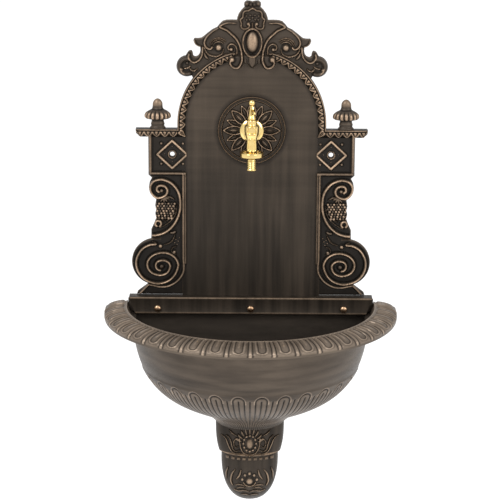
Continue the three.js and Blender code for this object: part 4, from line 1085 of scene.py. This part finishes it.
def corbel_form(z):
    """Half width, front reach and straight depth of the corbel at each height."""
    down = np.clip((CORBEL_TOP - z) / (CORBEL_TOP - CORBEL_LEDGE), 0, 1)
    upper = 1 - 0.1 * down**3
    below = np.clip((CORBEL_LEDGE - z) / (CORBEL_LEDGE - CORBEL_TIP), 0, 1)
    lower = (1 + 0.08 * below) * np.sqrt(np.clip(1 - below**2.25, 0.0004, 1))
    on_top = z > CORBEL_LEDGE
    share = np.where(on_top, upper, lower)
    half = np.where(on_top, CORBEL_HALF * share, 0.865 * (CORBEL_HALF - 2.2) * share)
    return half, CORBEL_REACH * share, BASIN_BACK * np.minimum(1, share * 1.15)


CORBEL_STROKES = [
    ([(15.5, 8), (15, 0), (13.5, -8), (9, -16), (0, -20)], 1.9, 2.2, None, 0.75),
    ([(13, -15.5), (20, -18), (28, -14), (33, -4), (36, 4), (40, 9), (44, 10)], 2.0, 2.2, thin_ends, 0.7),
    ([(16, -11), (21, -14), (26, -10), (28, -1), (31, 7), (36, 12)], 2.0, 2.2, thin_ends, 0.6),
    ([(16, 6), (20, 7.5), (24, 3), (24, -4), (20, -7.5), (17.5, -4)], 1.9, 2.2, thin_far, 0.6),
    ([(20, 12), (26, 15), (31, 20)], 2.2, 2.0, thin_ends, 0.5),
]
CORBEL_LOWER_STROKES = [
    ([(13, 18), (15.5, 9), (20, 2)], 3.0, 2.0, thin_ends, 0.7),
    ([(22, 18), (27, 10), (29, -2), (26, -10)], 3.0, 2.0, thin_ends, 0.7),
    ([(33, 20), (36, 10), (36, -2)], 2.6, 1.8, thin_ends, 0.5),
    ([(7, -9), (15, -7), (22, -9)], 2.4, 1.8, thin_ends, 0.7),
    ([(5, -13), (13, -12), (20, -15)], 2.4, 1.8, thin_ends, 0.6),
    ([(0, -21), (8, -18), (17, -20), (24, -18)], 2.6, 2.0, thin_ends, 0.7),
    ([(0, -28), (7, -26), (13, -27)], 2.4, 1.8, thin_ends, 0.5),
]


def corbel_marks(relief):
    boss = CORBEL_TOP - 31.0
    wide, high = 9.7, 13
    ring = [(wide * math.sin(a), boss + high * math.cos(a)) for a in np.linspace(0, 2 * math.pi, 30)]
    relief.ridge(ring, 1.6, 1.2, worn=0.3, smooth=False)
    for k in range(12):
        angle = math.pi / 6 * k
        relief.bead(wide * math.sin(angle), boss + high * math.cos(angle), 2.0, 2.0)
    relief.oval(np.hypot(relief.x / 5.4, (relief.z - boss) / 9), 3.4, 0.6)
    for side in (1, -1):
        relief.strokes(CORBEL_STROKES, side, boss)
    for k in range(-4, 5):
        angle = math.radians(19 * k)
        u, v = math.sin(angle), math.cos(angle)
        line = [(13 * u, boss + 15 * v), (18 * u, boss + 20 * v), (21 * u, boss + 26 * v)]
        relief.ridge(line, 3.0, 2.2, thin_ends, worn=0.5)


def corbel_lower_marks(relief):
    boss = CORBEL_LEDGE - 42.0
    top, bottom = CORBEL_LEDGE - 3, CORBEL_LEDGE - 8.5
    for k in range(-4, 5):
        left, right = 8.5 * k - 3, 8.5 * k + 3
        relief.mound([(left, top), (right, top), (right, bottom), (left, bottom)], 1.8, 0.9, worn=0.35)
    relief.bead(0, boss, 6, 4.2)
    relief.bead(0, boss + 12.5, 2.8)
    relief.ridge(arc(0, boss, 9.6, 200, 340), 1.8, 1.8, smooth=False)
    for side in (1, -1):
        relief.bead(side * 7, boss + 9.5, 2.6)
        relief.bead(side * 11.2, boss + 2, 2.6)
        relief.strokes(CORBEL_LOWER_STROKES, side, boss)


def corbel_sheet(heights, turn, fading):
    """The front of the corbel at some heights as points and marks, with its lowest rows fading to plain."""
    half, reach, back = (value[:, None] for value in corbel_form(heights))
    x = half * np.sin(turn)
    z = heights[:, None] * np.ones_like(x)
    relief = Relief(x, z, back + reach * np.cos(turn))
    corbel_marks(relief)
    corbel_lower_marks(relief)
    facing = np.clip(np.cos(turn) * 2.2, 0, 1)
    rise = (relief.height() - relief.ground).reshape(x.shape) * facing
    if fading:
        rise[-fading:] *= np.linspace(1, 0, fading)[:, None]
    off = relief.ground.reshape(x.shape) + rise
    worn, hollow = (mark.reshape(x.shape) * facing for mark in relief.marks())
    worn = np.maximum(worn, 0.8 * (bell(z, CORBEL_LEDGE, 1.1) + bell(z, CORBEL_TOP - 1.0, 0.9)))
    return with_ends(np.stack([x, -off, z], axis=-1)), with_end_marks(worn), with_end_marks(hollow)


def corbel():
    upper = np.linspace(CORBEL_TOP, CORBEL_LEDGE + 0.02, 66)
    lower = CORBEL_LEDGE - (CORBEL_LEDGE - CORBEL_TIP) * np.sin(np.linspace(0, math.pi / 2, 96))
    turn = np.linspace(math.pi / 2, -math.pi / 2, 201)
    sheets = zip(corbel_sheet(upper, turn, 0), corbel_sheet(lower, turn, 14))
    points, worn, hollow = (np.concatenate(pair) for pair in sheets)
    body = Body()
    body.grid(points, worn, hollow)
    body.cap(points[0], -1)
    body.cap(np.concatenate([points[:, 0], points[::-1, -1]]), -1)
    return body.mesh("corbel_casting", plate_material(), sharp=50)


# Finials

def finial(side, name):
    """A gadrooned cap and a bullet on a ringed neck, flattened towards the wall."""
    rows = [(0, 0.0), (10.9, 0.0), (11.6, 0.8), (11.6, 2.0), (10.3, 3.2), (9.6, 4.8), (10.1, 6.4),
            (10.1, 7.6), (9.5, 9.4), (9.1, 11), (9.1, 12.6), (10.5, 13.8), (15.4, 14.5), (18.2, 15.6),
            (19.4, 17.2), (FINIAL_RADIUS, 19.2), (19.1, 21.2), (18.2, 22.9), (16.4, 24.6), (13.4, 26.6),
            (10.4, 28.0),
            (8.6, 29.4), (7.9, 30.8), (7.5, 32.4), (7.35, 34.2), (7.25, 36.4), (6.9, 38.4), (6.1, 40.2),
            (4.9, 41.9), (3.2, 43.4), (1.4, 44.3), (0, FINIAL_HEIGHT)]
    rows = np.clip(curve(rows, step=0.7), 0, (FINIAL_RADIUS, FINIAL_HEIGHT)) + (0, FINIAL_BASE)
    sides = 160
    height = rows[:, 1:] - FINIAL_BASE
    part = smooth_step((height - 13.8) / 2) * smooth_step((29 - height) / 4)
    wave = np.abs(np.cos(8 * (2 * np.pi * np.arange(sides) / sides)))
    swell = 1 - 0.13 * part * (1 - wave**0.7)
    worn = part * wave**2 * 0.9 * smooth_step((27 - height) / 6)
    worn = np.maximum(worn, np.maximum(0.42 * smooth_step((height - 31) / 6), 0.2 * bell(height, 9, 1.5)))
    hollow = np.maximum(bell(height, 28.6, 1.0), 0.8 * bell(height, 13, 1.2))
    hollow = np.maximum(hollow, part * (1 - wave)**2)
    body = Body()
    turned(body, rows, (side * FINIAL_X, -FINIAL_AXIS), sides, swell, worn, hollow, flat=0.72)
    for points in body.points:
        points[:, 1] = np.minimum(points[:, 1], 0)
    return body.mesh(name, plate_material())


# Screws

def screw(x, name, material):
    body = Body()
    start = FLANGE_REACH + SEAT_GAP
    head = SCREW_HEAD / 2
    rows = [(0, 1.0), (2.5, 1.0), (2.5, start), (head - 0.4, start), (head, start + 0.5), (head, start + 1.1)]
    rows += [(head * math.cos(a), start + 1.1 + 2.8 * math.sin(a)) for a in np.linspace(0.15, math.pi / 2, 8)]
    across_wall(body, rows, x, SCREW_HEIGHT, 40)
    return body.mesh(name, material)


# Tap

def rounded(rows, radius=0.5, steps=4):
    """A profile with its inner corners rounded off."""
    rows = [np.array(row, float) for row in rows]
    out = [rows[0]]
    for before, here, after in zip(rows, rows[1:], rows[2:]):
        a, b = before - here, after - here
        reach = min(radius, np.hypot(*a) / 2.1, np.hypot(*b) / 2.1)
        a, b = here + a / max(np.hypot(*a), 1e-6) * reach, here + b / max(np.hypot(*b), 1e-6) * reach
        for t in np.linspace(0, 1, steps + 1):
            out.append(a * (1 - t)**2 + 2 * here * t * (1 - t) + b * t**2)
    out.append(rows[-1])
    return out


def tap_body(material):
    body = Body()
    axis = ROSETTE_HEIGHT
    wall = PANEL + ROSETTE_RAISED + SEAT_GAP
    inlet = [(TAP_BORE, SEAT_GAP), (10, SEAT_GAP), (10, wall), (17.5, wall), (17.5, wall + 4.4),
             (14.5, wall + 6), (10.5, wall + 6), (10.5, TAP_REACH - 6), (10.2, TAP_REACH - 2), (0, TAP_REACH)]
    across_wall(body, rounded(inlet, 0.6), 0, axis, 64)
    foot = 14
    spout = [(TAP_BORE, foot), (7.2, foot), (7.75, foot + 0.6), (7.75, 33), (9, axis), (10.2, axis + 4),
             (10.6, axis + 7), (10.6, TAP_TOP - 2), (9.6, TAP_TOP - 0.4), (7.6, TAP_TOP), (7.6, TAP_TOP + 1),
             (7.2, TAP_TOP + 1.6), (7.5, TAP_TOP + 2.2), (7.5, TAP_TOP + 7), (6.8, TAP_TOP + TAP_NECK),
             (0, TAP_TOP + TAP_NECK)]
    turned(body, rounded(spout, 0.7), (0, -TAP_REACH), 64)
    turned(body, [(0, axis), (TAP_BORE, axis), (TAP_BORE, foot)], (0, -TAP_REACH), 64)
    label = [(-6.6, axis + 5.6), (-6.6, axis + 11), (-4.8, axis + 13.6), (4.8, axis + 13.6), (6.6, axis + 11),
             (6.6, axis + 5.6), (4.8, axis + 4.2), (-4.8, axis + 4.2)]
    add_tube(body, label, 1.3, 10.9)
    arch_line = [(-5.4, 17), (-5.4, 27), (-4.6, 31), (-2.6, 33.4), (0, 34.2), (2.6, 33.4), (4.6, 31),
                 (5.4, 27), (5.4, 17), (0, 16.2)]
    add_tube(body, arch_line, 1.0, 8.0)
    return body.mesh("tap_body_brass", material, sharp=35)


def add_tube(body, outline, radius, around):
    """A thin raised closed bead that lies on the front of a round part of the tap."""
    path = curve(outline, step=0.5, closed=True)[:-1]
    forward = np.roll(path, -1, axis=0) - np.roll(path, 1, axis=0)
    forward /= np.maximum(np.hypot(forward[:, 0], forward[:, 1])[:, None], 1e-6)
    angles = np.linspace(0, 2 * math.pi, 13)[:-1]
    rows = []
    for (x, z), (u, v) in zip(path, forward):
        out = TAP_REACH + math.sqrt(around**2 - x * x)
        rows.append([(x - v * radius * math.cos(a), -out - radius * math.sin(a), z + u * radius * math.cos(a))
                     for a in angles])
    body.grid(np.array(rows + rows[:1]), loop=True)


def tap_lever(material):
    body = Body()
    base = TAP_TOP + TAP_NECK + SEAT_GAP
    top = base + 29
    knob = [(4.8 * math.cos(a), top - 4.8 + 4.8 * math.sin(a)) for a in np.linspace(-1.0, math.pi / 2, 14)]
    stem = [(0, base), (6, base), (6.4, base + 1), (6.2, base + 2.4), (4.9, base + 6), (4.4, base + 10),
            (3.6, base + 15), (2.8, base + 20.2)]
    turned(body, rounded(stem, 0.6) + [np.array(row) for row in knob], (0, -TAP_REACH), 40)
    low = base + 8
    right = [(0, low - 1), (8, low - 0.6), (13.6, low + 0.6), (15, low + 3), (13, low + 5.6), (8, low + 6.6),
             (4, low + 7.4), (3, low + 11)]
    left = [(-x, z) for x, z in right[:0:-1]]
    outline = left[4:] + right + left[:4]
    ring = curve(outline, step=1.0, closed=True)[:-1]
    middle = ring.mean(axis=0)
    turn = math.radians(90 + 14)
    sheets = []
    for shrink, thick in ((0.86, -2.25), (0.97, -1.9), (1.0, -1.0), (1.0, 1.0), (0.97, 1.9), (0.86, 2.25)):
        rim = middle + (ring - middle) * shrink
        x = rim[:, 0] * math.cos(turn) - thick * math.sin(turn)
        y = rim[:, 0] * math.sin(turn) + thick * math.cos(turn)
        sheets.append(np.stack([x, y - TAP_REACH, rim[:, 1]], axis=1))
    body.grid(np.array(sheets), loop=True)
    body.cap(sheets[0], -1)
    body.cap(sheets[-1])
    return body.mesh("tap_lever_brass", material, sharp=35)


def tap_ring(material):
    body = Body()
    top, bottom = UNION_TOP, UNION_BOTTOM
    rows = [(7.3, bottom), (14.4, bottom), (17.25, bottom + 2.2), (17.25, top - 1.4), (15.8, top), (7.3, top),
            (7.3, bottom)]
    turned(body, rounded(rows, 0.5), (0, -TAP_REACH), 72)
    return body.mesh("tap_ring_brass", material, sharp=35)


def tap_tail(material):
    body = Body()
    bottom = UNION_BOTTOM - TAIL_LENGTH
    rows = [(TAP_BORE, UNION_TOP), (7, UNION_TOP)]
    for k in range(5):
        z = 3.6 - 3.0 * k
        rows += [(7, z), (6.3, z - 1.0), (6.6, z - 2.2)]
    rows += [(7.4, bottom + 2.4), (7.4, bottom + 1.0), (6.4, bottom), (TAP_BORE, bottom)]
    rows.append((TAP_BORE, UNION_TOP))
    turned(body, rounded(rows, 0.35, 2)[::-1], (0, -TAP_REACH), 48)
    return body.mesh("tap_tail_brass", material, sharp=35)


# Fitting the pieces to the frame

def fit(piece, body, node):
    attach(piece, body)
    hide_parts(node)


def build_object():
    fit(back_plate(), "fountain", "back_plate")
    fit(basin(), "fountain", "basin")
    fit(corbel(), "fountain", "corbel")
    fit(finial(-1, "finial_cap_left"), "fountain", "finial_left")
    fit(finial(1, "finial_cap_right"), "fountain", "finial_right")
    copper = polished("screw_copper", (0.62, 0.42, 0.26), (0.40, 0.25, 0.15), 0.32)
    for step, label in ((-1, "left"), (0, "middle"), (1, "right")):
        piece = screw(step * SCREW_SPACING, f"screw_head_{label}", copper)
        fit(piece, "fountain", f"screw_{label}")
    brass = polished("tap_polish", (0.86, 0.66, 0.28), (0.70, 0.50, 0.19), 0.16)
    fit(tap_body(brass), "fountain", "tap_body")
    fit(tap_ring(brass), "fountain", "tap_union_ring")
    fit(tap_tail(brass), "fountain", "tap_hose_tail")
    fit(tap_lever(brass), "lever", "tap_lever")


# Stage, light and camera

def stage():
    half = 60.0
    height = -1.2
    corners = [(-half, -half, height), (half, -half, height), (half, half, height), (-half, half, height)]
    data = bpy.data.meshes.new("floor")
    data.from_pydata(corners, [], [(0, 1, 2, 3)])
    floor = bpy.data.objects.new("floor", data)
    bpy.context.scene.collection.objects.link(floor)
    white = Finish("floor_white")
    white.set(white.shader, Base_Color=(0.95, 0.95, 0.95, 1), Roughness=0.9, Emission_Color=(1, 1, 1, 1),
              Emission_Strength=0.25)
    data.materials.append(white.material)


def softbox(name, place, target, size, power):
    data = bpy.data.lights.new(name, "AREA")
    data.shape = "RECTANGLE"
    data.size, data.size_y = size
    data.energy = power
    light = bpy.data.objects.new(name, data)
    light.location = place
    direction = np.array(target, float) - np.array(place, float)
    light.rotation_euler = (math.atan2(math.hypot(direction[0], direction[1]), -direction[2]), 0,
                            math.atan2(direction[1], direction[0]) - math.pi / 2)
    bpy.context.scene.collection.objects.link(light)


def lights():
    world = bpy.data.worlds.new("studio")
    world.use_nodes = True
    world.node_tree.nodes["Background"].inputs["Color"].default_value = (1, 1, 1, 1)
    world.node_tree.nodes["Background"].inputs["Strength"].default_value = 0.9
    bpy.context.scene.world = world
    softbox("key", (-1.4, -2.0, 1.9), (0, 0, -0.1), (1.2, 1.2), 55)
    softbox("fill", (1.6, -1.8, 0.9), (0, 0, -0.15), (1.0, 1.4), 25)


def camera():
    data = bpy.data.cameras.new("photo_camera")
    data.sensor_width = 36
    data.lens = 128.74
    data.shift_x = -0.0020
    view = bpy.data.objects.new("photo_camera", data)
    view.location = (0, -2.6043, 0.5263)
    view.rotation_mode = "ZYX"
    view.rotation_euler = (math.radians(75.5), 0, math.radians(0.37))
    bpy.context.scene.collection.objects.link(view)
    bpy.context.scene.camera = view


build_object()
stage()
lights()
camera()
bpy.context.scene.view_settings.view_transform = "Standard"
